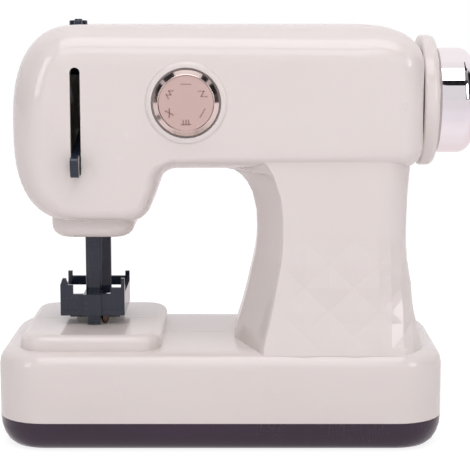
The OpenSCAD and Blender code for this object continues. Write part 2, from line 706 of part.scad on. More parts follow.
// number of finger ribs in the cover
grip_count = 5;
cover_h = 1.6;
cover_screw_x = bay_x + bay_len + cover_lip - screw_head_r * 2;
module bottom_tray() {
    color(dark_brown) union() difference() {
        union() {
            difference() {
                round_box(x_left, x_right, base_dep / 2, base_corner_r,
                    low_round(base_corner_r, 0, tray_h, tray_edge_r, tray_h, edge_steps));
                round_box(x_left + wall * 2, x_right - wall * 2, base_dep / 2 - wall * 2,
                    base_corner_r - wall * 2,
                    low_round(base_corner_r - wall * 2, wall * 3 / 2, tray_h + cut, tray_edge_r,
                        tray_h - wall * 3 / 2, inner_steps), inner_fn);
            }
            // lip that enters the body
            difference() {
                round_box(x_left + wall + free_gap, x_right - wall - free_gap,
                    base_dep / 2 - wall - free_gap,
                    base_corner_r - wall - free_gap,
                    [[0, tray_h - wall / 2], [base_corner_r - wall - free_gap, tray_h - wall / 2],
                        [base_corner_r - wall - free_gap, tray_h + wall], [0, tray_h + wall]]);
                round_box(x_left + wall * 2, x_right - wall * 2, base_dep / 2 - wall * 2,
                    base_corner_r - wall * 2,
                    [[0, 0], [base_corner_r - wall * 2, 0],
                        [base_corner_r - wall * 2, base_top_z], [0, base_top_z]], inner_fn);
            }
            for (p = foot_posts)
                hull() {
                    translate([p[0], p[1], wall / 2]) cylinder(h = slice, r = post_r + wall, $fn = hole_fn);
                    translate([p[0], p[1], foot_post_z - slice])
                        cylinder(h = slice, r = post_r, $fn = hole_fn);
                }
            translate([bay_x - wall, -bay_half_y - wall, wall / 2])
                cube([bay_len + wall * 2, bay_half_y * 2 + wall * 2, bay_z - wall / 2]);
        }
        translate([bay_x, -bay_half_y, wall * 3 / 2]) cube([bay_len, bay_half_y * 2, bay_z + cut]);
        translate([bay_x + cover_lip, -bay_half_y + cover_lip, -cut])
            cube([bay_len - cover_lip * 2, bay_half_y * 2 - cover_lip * 2, wall * 3]);
        translate([bay_x - cover_lip, -bay_half_y, -cut])
            cube([bay_len + cover_lip * 2, bay_half_y * 2, cut + cover_h + free_gap]);
        for (p = foot_posts) {
            translate([p[0], p[1], -cut])
                cylinder(h = tray_h * 2, r = screw_r + free_gap / 2, $fn = hole_fn);
            translate([p[0], p[1], -cut])
                cylinder(h = cut + wall * 2, r = screw_head_r + free_gap, $fn = hole_fn);
        }
        translate([cover_screw_x, 0, -cut])
            cylinder(h = wall * 4, r = screw_r + free_gap / 2, $fn = hole_fn);
    }
}

module battery_cover() {
    color(dark_brown) difference() {
        union() {
            translate([bay_x - cover_lip + free_gap, -bay_half_y + free_gap, free_gap])
                cube([bay_len + cover_lip * 2 - free_gap * 2, bay_half_y * 2 - free_gap * 2, cover_h]);
            for (y = [-1, 1])
                translate([bay_x + cover_lip + free_gap,
                    y * (bay_half_y - cover_lip * 2) - cover_h / 2, free_gap])
                    cube([bay_len - cover_lip * 2 - free_gap * 2 - screw_head_r * 3,
                        cover_h, cover_h * 3 / 2]);
        }
        for (i = [0 : grip_count - 1])
            translate([bay_x + wall * 2 + i * wall, -bay_half_y / 3, -cut])
                cube([wall / 2, bay_half_y * 2 / 3, cut + free_gap * 2]);
        translate([cover_screw_x, 0, -cut]) cylinder(h = wall * 4, r = screw_r + free_gap / 2);
        translate([cover_screw_x, 0, -cut]) cylinder(h = cut + free_gap * 3, r = screw_head_r + free_gap);
    }
}
cell_z = cover_h + free_gap * 3 / 2 + cover_h / 2 + cell_r;
cell_x = bay_x + (bay_len - cell_len) / 2;
nub_r = 2.7;
nub_len = 1.2;
module battery_cells() {
    color(steel) for (y = [-1, 1])
        along_x(cell_x, y * (cell_r + free_gap / 2), cell_z) union() {
            cylinder(h = cell_len, r = cell_r);
            translate([0, 0, y > 0 ? cell_len - slice : -nub_len]) cylinder(h = nub_len + slice, r = nub_r);
        }
}

plate_w = 0.5;
coil_r = 0.4;
contact_turns = 3;
module battery_contacts() {
    color(steel) {
        for (x = [bay_x, bay_x + bay_len - plate_w], y = [-1, 1])
            translate([x, y * (cell_r + free_gap / 2) - cell_r * 3 / 4, cell_z - cell_r * 3 / 4])
                cube([plate_w, cell_r * 3 / 2, cell_r * 3 / 2]);
        for (y = [-1, 1]) {
            reach = (bay_len - cell_len) / 2 - plate_w - fit_gap;
            along_x(bay_x + (y < 0 ? bay_len - plate_w : plate_w), y * (cell_r + free_gap / 2), cell_z)
                mirror([0, 0, y < 0 ? 1 : 0]) coil(nub_r * 2, nub_r, reach, contact_turns, coil_r);
        }
    }
}

module one_screw(len, r_head, head_h) {
    difference() {
        union() {
            cylinder(h = head_h, r = r_head);
            translate([0, 0, -len]) cylinder(h = len + slice, r = screw_r);
        }
        for (a = [0, 90]) rotate([0, 0, a])
            translate([-r_head / 2, -screw_r / 5, head_h / 2]) cube([r_head, screw_r * 2 / 5, head_h]);
    }
}
head_h = 1.6;
module shell_screws() {
    color(steel) for (i = [0 : len(post_spots) - 1])
        translate([post_spots[i][0], post_seats[i], post_spots[i][1]]) rotate([-90, 0, 0])
            one_screw(post_seats[i] + screw_tip, screw_head_r, head_h);
}
module tray_screws() {
    color(steel) {
        for (p = foot_posts)
            translate([p[0], p[1], wall * 2]) rotate([180, 0, 0])
                one_screw(tray_screw_len - wall * 2 + foot_post_z - tray_h, screw_head_r, head_h);
        translate([cover_screw_x, 0, free_gap * 3]) rotate([180, 0, 0])
            one_screw(wall * 2, screw_head_r, free_gap * 2);
    }
}

// Hand wheel, shaft and gears

shaft_end = x_end - knob_edge - wall;
crank_pin_len = 0.7;
module main_shaft() {
    color(steel) along_x(crank_x + crank_w / 3, 0, shaft_z)
        cylinder(h = shaft_end - crank_x - crank_w / 3, r = shaft_r);
}
module shaft_bushes() {
    color(nylon) for (x = bush_spots)
        along_x(x, 0, shaft_z) difference() {
            union() {
                translate([0, 0, -bush_w / 2 - wall / 2]) cylinder(h = bush_w + wall, r = bush_r);
                translate([0, 0, bush_w / 2 + run_gap]) cylinder(h = wall / 2, r = bush_r + wall / 2);
            }
            translate([0, 0, -bush_w * 2]) cylinder(h = bush_w * 4, r = shaft_r + run_gap);
        }
}
module crank_disc() {
    color(nylon) along_x(crank_x, 0, shaft_z) difference() {
        union() {
            cylinder(h = crank_w, r = crank_r + pin_r * 2);
            cylinder(h = crank_w * 2, r = shaft_r * 2);
            translate([crank_r, 0, -crank_pin_len])
                cylinder(h = crank_pin_len + slice, r = pin_r);
        }
        translate([0, 0, crank_w / 3]) cylinder(h = crank_w * 3, r = shaft_r + fit_gap);
    }
}

// tooth shares: half thickness at root, pitch and tip, as parts of a tooth pitch
root_share = 0.33;
tip_share = 0.12;
add_share = 0.85;
ded_share = 1.2;
function gear_points(teeth, turn) = [for (i = [0 : teeth - 1]) for (k = [0 : 3])
    let (step = 360 / teeth, s = [-root_share, -tip_share, tip_share, root_share][k],
        r = gear_module_w * teeth / 2 + gear_module_w * [-ded_share, add_share, add_share, -ded_share][k],
        a = turn + step * (i + s))
    [r * cos(a), r * sin(a)]];
module spur(teeth, turn, bore) {
    difference() {
        linear_extrude(height = gear_w) polygon(gear_points(teeth, turn));
        translate([0, 0, -cut]) cylinder(h = gear_w + cut * 2, r = bore);
    }
}
// in this turned view the axis runs along x, so straight down is at zero degrees
module shaft_gear() {
    color(nylon) along_x(gear_x + gear_w + free_gap * 3, 0, shaft_z) union() {
        spur(shaft_teeth, 0, shaft_r + fit_gap);
        difference() {
            translate([0, 0, gear_w - slice]) cylinder(h = wall * 2, r = shaft_r * 2);
            translate([0, 0, -cut]) cylinder(h = gear_w * 3, r = shaft_r + fit_gap);
        }
    }
}
axle_r = 1;
module compound_gear() {
    color(nylon) {
        along_x(gear_x, 0, gear_z) spur(large_teeth, 0, axle_r + run_gap);
        along_x(gear_x + gear_w - slice, 0, gear_z) difference() {
            cylinder(h = free_gap * 3 + slice * 2, r = gear_module_w * (small_teeth - 3) / 2);
            translate([0, 0, -cut]) cylinder(h = gear_w, r = axle_r + run_gap);
        }
        along_x(gear_x + gear_w + free_gap * 3, 0, gear_z)
            spur(small_teeth, 180 + 180 / small_teeth, axle_r + run_gap);
    }
}
module gear_pin() {
    color(steel) along_x(gear_x - wall / 2, 0, gear_z) union() {
        cylinder(h = bracket_x + bracket_w - gear_x + wall / 2, r = axle_r);
        translate([0, 0, -wall / 4]) cylinder(h = wall / 2, r = axle_r * 2);
    }
}
motor_boss_r = 3;
module gear_bracket() {
    color(nylon) difference() {
        translate([bracket_x, -bracket_half_y, bracket_low_z])
            cube([bracket_w, bracket_half_y * 2, bracket_high_z - bracket_low_z]);
        along_x(bracket_x - cut, 0, gear_z) cylinder(h = bracket_w + cut * 2, r = axle_r + fit_gap);
        along_x(bracket_x - cut, 0, motor_z) cylinder(h = bracket_w + cut * 2, r = motor_boss_r + fit_gap);
    }
}
motor_shaft_r = 1;
motor_x = bracket_x + bracket_w;
module motor_can() {
    color(steel) difference() {
        union() {
            intersection() {
                along_x(motor_x, 0, motor_z) cylinder(h = motor_len, r = motor_r);
                translate([motor_x - cut, -motor_r * 2, motor_z - motor_flat / 2])
                    cube([motor_len + cut * 2, motor_r * 4, motor_flat]);
            }
            along_x(motor_x - bracket_w * 3 / 4, 0, motor_z) cylinder(h = bracket_w, r = motor_boss_r);
        }
        along_x(motor_x - bracket_w - cut, 0, motor_z)
            cylinder(h = motor_len / 2, r = motor_shaft_r + run_gap);
    }
}
cap_w = 3.2;
module motor_cap() {
    color(slate) {
        intersection() {
            along_x(motor_x + motor_len, 0, motor_z) cylinder(h = cap_w, r = motor_r);
            translate([motor_x, -motor_r * 2, motor_z - motor_flat / 2])
                cube([motor_len * 2, motor_r * 4, motor_flat]);
        }
        for (y = [-1, 1])
            translate([motor_x + motor_len + cap_w - slice, y * motor_r / 2 - wall / 2,
                motor_z - plate_w / 2])
                cube([wall * 2, wall, plate_w]);
    }
}
module motor_pinion() {
    color(copper) {
        along_x(gear_x, 0, motor_z) spur(pinion_teeth, 180 + 180 / pinion_teeth, motor_shaft_r - slice);
        along_x(gear_x - wall / 2, 0, motor_z)
            cylinder(h = motor_x + motor_len / 3 - gear_x, r = motor_shaft_r);
    }
}

module handwheel_collar() {
    color(cream) along_x(collar_x, 0, shaft_z) difference() {
        rotate_extrude($fn = 96) polygon(concat(
            [[0, 0]],
            [for (i = [0 : edge_steps]) let (a = -90 + 90 * i / edge_steps)
                [collar_r - collar_edge_r + collar_edge_r * cos(a),
                    collar_edge_r + collar_edge_r * sin(a)]],
            [for (i = [0 : edge_steps]) let (a = 90 * i / edge_steps)
                [collar_r - collar_edge_r + collar_edge_r * cos(a),
                    collar_w - collar_edge_r + collar_edge_r * sin(a)]],
            [[0, collar_w]]));
        translate([0, 0, -cut]) cylinder(h = collar_w + cut * 2, r = shaft_r + fit_gap);
        translate([0, 0, -cut]) difference() {
            cylinder(h = cut + collar_w - wall, r = collar_r - wall * 3 / 2);
            translate([0, 0, -cut]) cylinder(h = collar_w * 2, r = shaft_r * 2);
        }
    }
}

knob_turn = 8;
function flats(r) = [for (i = [0 : knob_flats - 1])
    let (a = knob_turn + 360 * i / knob_flats) [r * cos(a), r * sin(a)]];
knob_steps = 5;
module handwheel_knob() {
    len = knob_len;
    color(rose) along_x(knob_x, 0, shaft_z) difference() {
        hull() {
            linear_extrude(height = slice) polygon(flats(knob_r - knob_edge / 4));
            translate([0, 0, knob_edge / 4]) linear_extrude(height = slice) polygon(flats(knob_r));
            for (i = [0 : knob_steps]) let (a = 90 * i / knob_steps)
                translate([0, 0, len - knob_edge + (knob_edge - slice) * sin(a)])
                    linear_extrude(height = slice)
                    polygon(flats(knob_r - knob_draw + knob_draw * cos(a)));
        }
        translate([0, 0, -cut]) difference() {
            cylinder(h = cut + len - wall * 2 - knob_edge / 2, r = knob_r - wall * 3 / 2);
            translate([0, 0, -cut]) cylinder(h = len * 2, r = shaft_r * 2);
        }
        translate([0, 0, -cut]) cylinder(h = cut + shaft_end - knob_x + fit_gap, r = shaft_r + fit_gap);
    }
}

// Stitch dial

dial_back = -arm_half_y + seat_d - free_gap * 2 / 3;
dial_front = -arm_half_y - dial_out;
face_drop = 0.5;
face_w = 0.9;
axle_tip = -arm_half_y + seat_d + wall * 5 / 4 + wall;
dial_edge_r = 0.9;
module stitch_dial() {
    color(rose) along_y(dial_x, dial_front, dial_z) difference() {
        union() {
            rotate_extrude() polygon(concat(
                [[0, 0]],
                [for (i = [0 : edge_steps]) let (a = -90 + 90 * i / edge_steps)
                    [dial_r - dial_edge_r + dial_edge_r * cos(a), dial_edge_r + dial_edge_r * sin(a)]],
                [[dial_r, dial_back - dial_front], [0, dial_back - dial_front]]));
            cylinder(h = axle_tip - dial_front, r = dial_axle_r);
        }
        translate([0, 0, -cut]) cylinder(h = cut + face_drop + face_w, r = dial_face_r + fit_gap);
    }
}
retainer_r = 5.5;
retainer_w = 1.2;
module dial_retainer() {
    color(steel) along_y(dial_x, axle_tip - retainer_w - wall / 4, dial_z) difference() {
        cylinder(h = retainer_w, r = retainer_r);
        translate([0, 0, -cut]) cylinder(h = retainer_w + cut * 2, r = dial_axle_r + fit_gap);
    }
}
// marks are drawn around the face, each in a box one unit wide
mark_r_share = 0.68;
mark_w_share = 0.42;
line_share = 0.1;
mark_shares = [
    [[[-0.5, 0], [0.5, 0]]],
    [[[-0.5, -0.25], [-0.17, 0.25]], [[-0.17, 0.25], [0.17, -0.25]], [[0.17, -0.25], [0.5, 0.25]]],
    [[[-0.5, 0], [-0.22, 0]], [[-0.1, 0], [0.1, 0]], [[0.22, 0], [0.5, 0]]],
    [[[-0.5, -0.2], [0.5, -0.2]], [[-0.3, -0.2], [-0.3, 0.25]], [[0, -0.2], [0, 0.25]],
        [[0.3, -0.2], [0.3, 0.25]]],
    [[[-0.4, -0.25], [0.4, 0.25]], [[-0.4, 0.25], [0.4, -0.25]]],
    [[[-0.5, 0.2], [-0.25, -0.2]], [[-0.25, -0.2], [0, 0.2]], [[0, 0.2], [0.25, -0.2]],
        [[0.25, -0.2], [0.5, 0.2]]]];
module mark_line(p, q) {
    w = dial_face_r * mark_w_share;
    d = (q - p) * w;
    translate([p[0] * w, p[1] * w, 0]) rotate([0, 0, atan2(d[1], d[0])])
        translate([-w * line_share / 2, -w * line_share / 2, 0])
            cube([norm(d) + w * line_share, w * line_share, mark_h * 2]);
}
module dial_face() {
    color(rose) union() {
        along_y(dial_x, dial_front + face_drop, dial_z) cylinder(h = face_w, r = dial_face_r);
        for (i = [0 : len(mark_shares) - 1])
            translate([dial_x, dial_front + face_drop + mark_h, dial_z])
                rotate([0, 90 - i * 360 / len(mark_shares), 0]) rotate([90, 0, 0])
                    translate([dial_face_r * mark_r_share, 0, 0]) rotate([0, 0, 90])
                        for (m = mark_shares[i]) mark_line(m[0], m[1]);
    }
}

// Button and switch

flange_r = 4.6;
flange_h = 1.2;
flange_z = arm_top_z - wall - free_gap * 3 - flange_h;
button_dome = 0.5;
// radius of the button's raised middle, in parts of its radius
pip_shares = [0.45, 0.4];
module top_button() {
    top = arm_top_z + button_out;
    color(slate) translate([button_x, 0, 0]) rotate_extrude() polygon([
        [0, flange_z], [flange_r, flange_z], [flange_r, flange_z + flange_h],
        [button_r, flange_z + flange_h], [button_r, top - button_dome], [button_r - button_dome, top],
        [button_r * pip_shares[0], top], [button_r * pip_shares[1], top + button_dome],
        [0, top + button_dome]]);
}
coil_w = 0.35;
spring_turns = 5;
module button_spring() {
    color(steel) translate([button_x, 0, switch_top_z + fit_gap])
        coil(button_r - coil_w, button_r - coil_w, flange_z - switch_top_z - fit_gap * 2,
            spring_turns, coil_w);
}
plunger_r = 1.4;
module switch_body() {
    color(slate) union() {
        translate([button_x - switch_half, -switch_half, switch_top_z - switch_h])
            cube([switch_half * 2, switch_half * 2, switch_h]);
        translate([button_x, 0, switch_top_z - slice])
            cylinder(h = flange_z - switch_top_z - button_travel - free_gap, r = plunger_r);
    }
}

// Needle bar, foot, carriage and take-up lever

foot_x = bar_x - foot_w / 2;
foot_z = bed_top_z + foot_gap;
foot_front = foot_y - foot_half_y;
foot_rear = foot_y + foot_half_y;
// heights of the foot's block, its right edge, its side walls and its rear wall, in parts of its front wall
block_share = 0.7;
right_share = 0.91;
side_share = 0.72;
rear_low_share = 0.58;
rear_share = 0.885;
rear_prong_share = 1.055;
bar_low_z = foot_z + foot_h * block_share - foot_wall;
carriage_z = head_low_z + low_edge_z * 9 / 5;
carriage_h = 10;
bar_top_z = carriage_z + carriage_h - wall;
function arc(x, y, r, from, to, n) = [for (i = [0 : n])
    let (a = mix(from, to, i / n)) [x + r * cos(a), y + r * sin(a)]];
// section of the bar: round front edges, and a rib along its right side
module bar_shape(gap) {
    h = bar_w / 2 + gap;
    front = -bar_dep / 2 - gap;
    rear = bar_dep / 2 + gap;
    polygon(concat(
        arc(-h + bar_edge_r, front + bar_edge_r, bar_edge_r, 180, 270, corner_steps),
        arc(h - bar_edge_r, front + bar_edge_r, bar_edge_r, 270, 360, corner_steps),
        [[h, front + rib_back], [h + rib_w, front + rib_back], [h + rib_w, rear], [-h, rear]]));
}
module needle_bar() {
    color(slate) translate([bar_x, -bar_y, bar_low_z])
        linear_extrude(height = bar_top_z - bar_low_z) bar_shape(0);
}
// where the foot's front has its left corner, its notches and its right corner, in parts of its width
corner_share = 0.12;
notch_share = 0.2;
right_notch_share = 0.78;
right_corner_share = 0.945;
// points of a corner's slanted top, in parts of the corner
tip_shares = [0.3, 0.75];
prong_w = 1.7;
block_w = 6.9;
block_out = 1;
stub_w = 4.8;
stub_shift = 0.6;
stub_gap = 0.4;
ledge = 0.3;
ledge_h = 2.2;
module foot_frame() {
    left = foot_w * corner_share;
    block_h = foot_h * block_share;
    front = [[0, 0], [foot_w, 0], [foot_w, foot_h + prong_h],
        [foot_w * right_corner_share, foot_h + prong_h], [foot_w * right_corner_share, foot_h * right_share],
        [foot_w * right_notch_share, foot_h * right_share], [foot_w * right_notch_share, block_h],
        [foot_w * notch_share, block_h], [foot_w * notch_share, foot_h], [left, foot_h],
        [left * tip_shares[1], foot_h + prong_h], [left * tip_shares[0], foot_h + prong_h], [0, foot_h]];
    color(slate) difference() {
        union() {
            translate([foot_x, foot_front + foot_wall, foot_z]) rotate([90, 0, 0])
                linear_extrude(height = foot_wall) polygon(front);
            // ledge along the front, side walls, rear wall and rear corners
            translate([foot_x + ledge, foot_front - ledge, foot_z])
                cube([foot_w - ledge * 2, foot_wall, ledge_h]);
            for (x = [foot_x, foot_x + foot_w - foot_wall])
                translate([x, foot_front, foot_z]) cube([foot_wall, foot_half_y * 2, foot_h * side_share]);
            translate([foot_x, foot_rear - foot_wall, foot_z + foot_h * rear_low_share])
                cube([foot_w, foot_wall, foot_h * (rear_share - rear_low_share)]);
            for (x = [foot_x, foot_x + foot_w - prong_w])
                translate([x, foot_rear - prong_w, foot_z])
                    cube([prong_w, prong_w, foot_h * rear_prong_share]);
            // block that takes the bar, and its stub
            translate([bar_x - block_w / 2, foot_front - block_out, foot_z])
                cube([block_w, -bar_y + bar_dep / 2 - foot_front + block_out + foot_wall, block_h]);
            translate([bar_x + stub_shift - stub_w / 2, foot_front - block_out / 2, bed_top_z + stub_gap])
                cube([stub_w, foot_wall * 2, foot_gap]);
        }
        translate([bar_x, -bar_y, bar_low_z]) linear_extrude(height = foot_h) bar_shape(fit_gap);
    }
}
tip_r = 1.5;
tip_point_share = 0.4;
module needle_tip() {
    color(copper)
        translate([bar_x + stub_shift + stub_w / 2 + tip_r + free_gap / 3, foot_front + foot_wall,
            bed_top_z + stub_gap])
            union() {
                cylinder(h = tip_r, r1 = tip_r * tip_point_share, r2 = tip_r);
                translate([0, 0, tip_r - slice])
                    cylinder(h = foot_gap - stub_gap - tip_r + slice, r = tip_r);
            }
}
yoke_w = 3;
yoke_x = crank_x - crank_pin_len - free_gap - yoke_w;
yoke_half = crank_r + pin_r * 3;
yoke_z = shaft_z - crank_r;
pin_z = pivot_z - crank_r;
// the carriage and the guide close round the bar and the rod
guide_x = bar_x - bar_w / 2 - wall;
guide_front = -bar_y - bar_dep / 2 - wall;
guide_dep = rod_y + pin_r * 2 + wall / 3 - guide_front;
module needle_carriage() {
    color(nylon) difference() {
        union() {
            translate([guide_x, guide_front, carriage_z])
                cube([yoke_x + yoke_w - guide_x, guide_dep, carriage_h]);
            translate([yoke_x, -yoke_half, carriage_z])
                cube([yoke_w, yoke_half * 2, yoke_z + pin_r * 5 - carriage_z]);
            along_x(slot_x - lever_w, 0, pin_z) cylinder(h = yoke_x - slot_x + lever_w + slice, r = pin_r);
        }
        hull()
            for (y = [-1, 1])
                along_x(yoke_x - cut, y * (crank_r + free_gap), yoke_z)
                    cylinder(h = yoke_w + cut * 2, r = pin_r + free_gap, $fn = 32);
        translate([rod_x, rod_y, carriage_z - cut]) cylinder(h = carriage_h + cut * 2, r = pin_r + run_gap);
        translate([bar_x, -bar_y, carriage_z - cut])
            linear_extrude(height = bar_top_z - carriage_z + cut) bar_shape(fit_gap);
    }
}
module guide_rod() {
    color(steel) translate([rod_x, rod_y, nose_z + wall * 2])
        cylinder(h = rod_cap_z + wall - nose_z - wall * 2, r = pin_r);
}
guide_h = 9;
module bar_guide() {
    color(nylon) difference() {
        translate([guide_x, guide_front, nose_z + wall])
            cube([bar_w + rib_w + wall * 2, guide_dep, guide_h]);
        translate([bar_x, -bar_y, nose_z]) linear_extrude(height = guide_h * 2) bar_shape(run_gap);
        translate([rod_x, rod_y, nose_z + wall * 2]) cylinder(h = guide_h * 2, r = pin_r + fit_gap);
    }
}
hub_r = 3.4;
boss_r = 4;
// half height of the lever's arm, and the steps of its finger, in parts of the finger's half height
arm_share = 0.7;
tip_flat_share = 0.8;
finger_shares = [0.2, 1.3, 1.6];
module take_up_lever() {
    d0 = pivot_y - free_gap / 2;
    d1 = pivot_y / cos(tilt) + free_gap / 2;
    arm = finger_half * arm_share;
    flat = finger_half * tip_flat_share;
    ends = [for (t = finger_shares) finger_half * t - lever_len];
    color(slate) translate([slot_x - lever_w / 2, pivot_y, pivot_z]) rotate([tilt, 0, 0]) rotate([0, 90, 0])
        difference() {
            union() {
                cylinder(h = lever_w, r = hub_r);
                translate([-arm, ends[1], 0]) cube([arm * 2, -ends[1], lever_w]);
                translate([0, -(d0 + d1) / 2, 0]) cylinder(h = lever_w, r = boss_r);
                linear_extrude(height = lever_w) polygon([
                    [-arm, ends[2]], [-finger_half, ends[1]], [-finger_half, ends[0]], [-flat, -lever_len],
                    [flat, -lever_len], [finger_half, ends[0]], [finger_half, ends[1]], [arm, ends[2]]]);
            }
            translate([0, 0, -cut]) cylinder(h = lever_w + cut * 2, r = pin_r + run_gap);
            hull()
                for (d = [d0, d1])
                    translate([0, -d, -cut]) cylinder(h = lever_w + cut * 2, r = pin_r + free_gap, $fn = 32);
        }
}
module lever_pin() {
    color(steel) along_x(slot_x - lever_w / 2 - lever_gap - ear_w, pivot_y, pivot_z)
        cylinder(h = lever_w + lever_gap * 2 + ear_w * 2, r = pin_r);
}

front_shell();
back_shell();
bottom_tray();
battery_cover();
battery_cells();
battery_contacts();
shell_screws();
tray_screws();
main_shaft();
shaft_bushes();
crank_disc();
shaft_gear();
compound_gear();
gear_pin();
gear_bracket();
motor_can();
motor_cap();
motor_pinion();
handwheel_collar();
handwheel_knob();
stitch_dial();
dial_face();
dial_retainer();
top_button();
button_spring();
switch_body();
needle_bar();
foot_frame();
needle_tip();
needle_carriage();
guide_rod();
bar_guide();
take_up_lever();
lever_pin();
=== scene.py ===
"""Toy sewing machine: a glossy cream body on a dark tray, with plated controls and a slate needle bar."""
import logging
import math
from collections.abc import Callable, Iterator, Sequence
from contextlib import contextmanager
from dataclasses import dataclass, field
from enum import Enum
from functools import cache

import bmesh
import bpy
from mathutils import Euler, Matrix, Vector


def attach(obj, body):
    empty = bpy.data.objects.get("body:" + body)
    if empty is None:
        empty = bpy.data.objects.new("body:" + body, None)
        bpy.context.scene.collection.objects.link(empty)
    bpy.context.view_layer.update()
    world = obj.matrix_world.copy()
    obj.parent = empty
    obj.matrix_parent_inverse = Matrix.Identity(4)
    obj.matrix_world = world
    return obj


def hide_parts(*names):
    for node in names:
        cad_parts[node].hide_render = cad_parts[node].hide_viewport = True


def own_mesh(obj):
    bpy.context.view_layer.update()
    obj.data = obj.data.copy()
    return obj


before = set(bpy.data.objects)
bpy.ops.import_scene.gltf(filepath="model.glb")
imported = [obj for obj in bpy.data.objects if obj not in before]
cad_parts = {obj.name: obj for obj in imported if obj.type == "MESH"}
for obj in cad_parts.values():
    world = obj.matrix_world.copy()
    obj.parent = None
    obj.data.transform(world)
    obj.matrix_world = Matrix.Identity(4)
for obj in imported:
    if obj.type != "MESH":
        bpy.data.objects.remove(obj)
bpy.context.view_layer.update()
log = logging.getLogger("sewing_machine")

Colour = tuple[float, float, float]
Point = tuple[float, float, float]
Profile = list[tuple[float, float]]
Stroke = tuple[tuple[float, float], tuple[float, float]]
Socket = bpy.types.NodeSocket

MM = 0.001
# Corners of a copied mesh that lie closer than this are one corner, in metres
MERGE_REACH = 0.000002
# Places that differ by less than this are the same, in metres
SAME_PLACE = 1e-6
# Share of a normal along an axis from which a face looks that way
LOOKS_ALONG = 0.9
NUMBER_SOCKET = "NodeSocketFloat"
WHITE: Colour = (1.0, 1.0, 1.0)


class Facing(Enum):
    """The ways that a turned piece can face, as the axis and angle that turn it from upright."""

    UP = ("X", 0.0)
    RIGHT = ("Y", 90.0)
    FRONT = ("X", 90.0)

    def matrix(self, place: Point) -> Matrix:
        """Matrix that turns an upright piece this way and puts its foot at a place, in millimetres."""
        axis, angle = self.value
        return Matrix.Translation(Vector(place) * MM) @ Matrix.Rotation(math.radians(angle), 4, axis)


class Part(Enum):
    """Kinds of mesh elements that are picked in edit mode."""

    EDGES = "EDGE"
    FACES = "FACE"


class Mix(Enum):
    """What a Mix node mixes: its data type, the numbers of its two inputs and of its output."""

    NUMBERS = ("FLOAT", (2, 3), 0)
    COLOURS = ("RGBA", (6, 7), 2)


# Node trees


class NodeSheet:
    """A node tree on the work table, with short ways to place and link its nodes."""

    def __init__(self, tree: bpy.types.NodeTree) -> None:
        """Take a tree on the table."""
        self.tree = tree

    def add(self, kind: str) -> bpy.types.Node:
        """Place a node of a kind."""
        return self.tree.nodes.new(kind)

    def feed(self, target: Socket, value: object) -> None:
        """Link an output to an input, or set the input.

        Args:
            target: The input.
            value: An output, a number, a vector or a colour.
        """
        if isinstance(value, Socket):
            self.tree.links.new(value, target)
        else:
            target.default_value = (*value, 1.0) if target.type == "RGBA" else value

    def math(self, operation: str, first: object, second: object) -> Socket:
        """Place a Math node.

        Args:
            operation: What the node does.
            first: An output or a number.
            second: An output or a number.

        Returns:
            The node's output.
        """
        node = self.add("ShaderNodeMath")
        node.operation = operation
        for socket, value in zip(node.inputs, (first, second)):
            self.feed(socket, value)
        return node.outputs[0]

    def span(self, value: Socket, low: float, high: float, start: float = 0.0,
             stop: float = 1.0) -> Socket:
        """Place a Map Range node.

        Args:
            value: Number to map.
            low: Value that becomes start.
            high: Value that becomes stop.
            start: Result at the low value and below it.
            stop: Result at the high value and above it.

        Returns:
            The mapped number, kept between start and stop.
        """
        node = self.add("ShaderNodeMapRange")
        limits = {"From Min": low, "From Max": high, "To Min": start, "To Max": stop}
        for title, number in limits.items():
            self.feed(node.inputs[title], number)
        self.feed(node.inputs["Value"], value)
        return node.outputs["Result"]

    def mix(self, kind: Mix, share: Socket, first: object, second: object) -> Socket:
        """Place a Mix node.

        Args:
            kind: What is mixed.
            share: How much of the second shows.
            first: An output, a number or a colour.
            second: An output, a number or a colour.

        Returns:
            The mixed number or colour.
        """
        node = self.add("ShaderNodeMix")
        node.data_type, numbers, result = kind.value
        for number, value in zip((0, *numbers), (share, first, second)):
            self.feed(node.inputs[number], value)
        return node.outputs[result]


class GroupSheet(NodeSheet):
    """A shader node group on the work table."""

    def __init__(self, name: str, inputs: dict[str, float], outputs: Sequence[str]) -> None:
        """Make an empty group.

        Args:
            name: Name of the group.
            inputs: Names and first values of its number inputs.
            outputs: Names of its number outputs.
        """
        super().__init__(bpy.data.node_groups.new(name, "ShaderNodeTree"))
        for title, value in inputs.items():
            socket = self.tree.interface.new_socket(title, in_out="INPUT", socket_type=NUMBER_SOCKET)
            socket.default_value = value
        for title in outputs:
            self.tree.interface.new_socket(title, in_out="OUTPUT", socket_type=NUMBER_SOCKET)
        self.source = self.add("NodeGroupInput")
        self.target = self.add("NodeGroupOutput")
        self.place = self.add("ShaderNodeTexCoord").outputs["Object"]

    def given(self, title: str) -> Socket:
        """One of the numbers that are given to the group."""
        return self.source.outputs[title]

    def give(self, title: str, value: Socket) -> None:
        """Put a number out of the group."""
        self.feed(self.target.inputs[title], value)

    def noise(self, scale: object, detail: float, stretch: Point | None = None) -> Socket:
        """Place a Noise texture on the piece's own coordinates.

        Args:
            scale: An output or a number, in waves to the metre.
            detail: Number of finer layers.
            stretch: Scale along each axis, or None for an even noise.

        Returns:
            The noise, from 0 to 1.
        """
        node = self.add("ShaderNodeTexNoise")
        self.feed(node.inputs["Detail"], detail)
        self.feed(node.inputs["Scale"], scale)
        vector = self.place
        if stretch is not None:
            mapping = self.add("ShaderNodeMapping")
            self.feed(mapping.inputs["Scale"], stretch)
            self.feed(mapping.inputs["Vector"], self.place)
            vector = mapping.outputs["Vector"]
        self.feed(node.inputs["Vector"], vector)
        return node.outputs["Fac"]


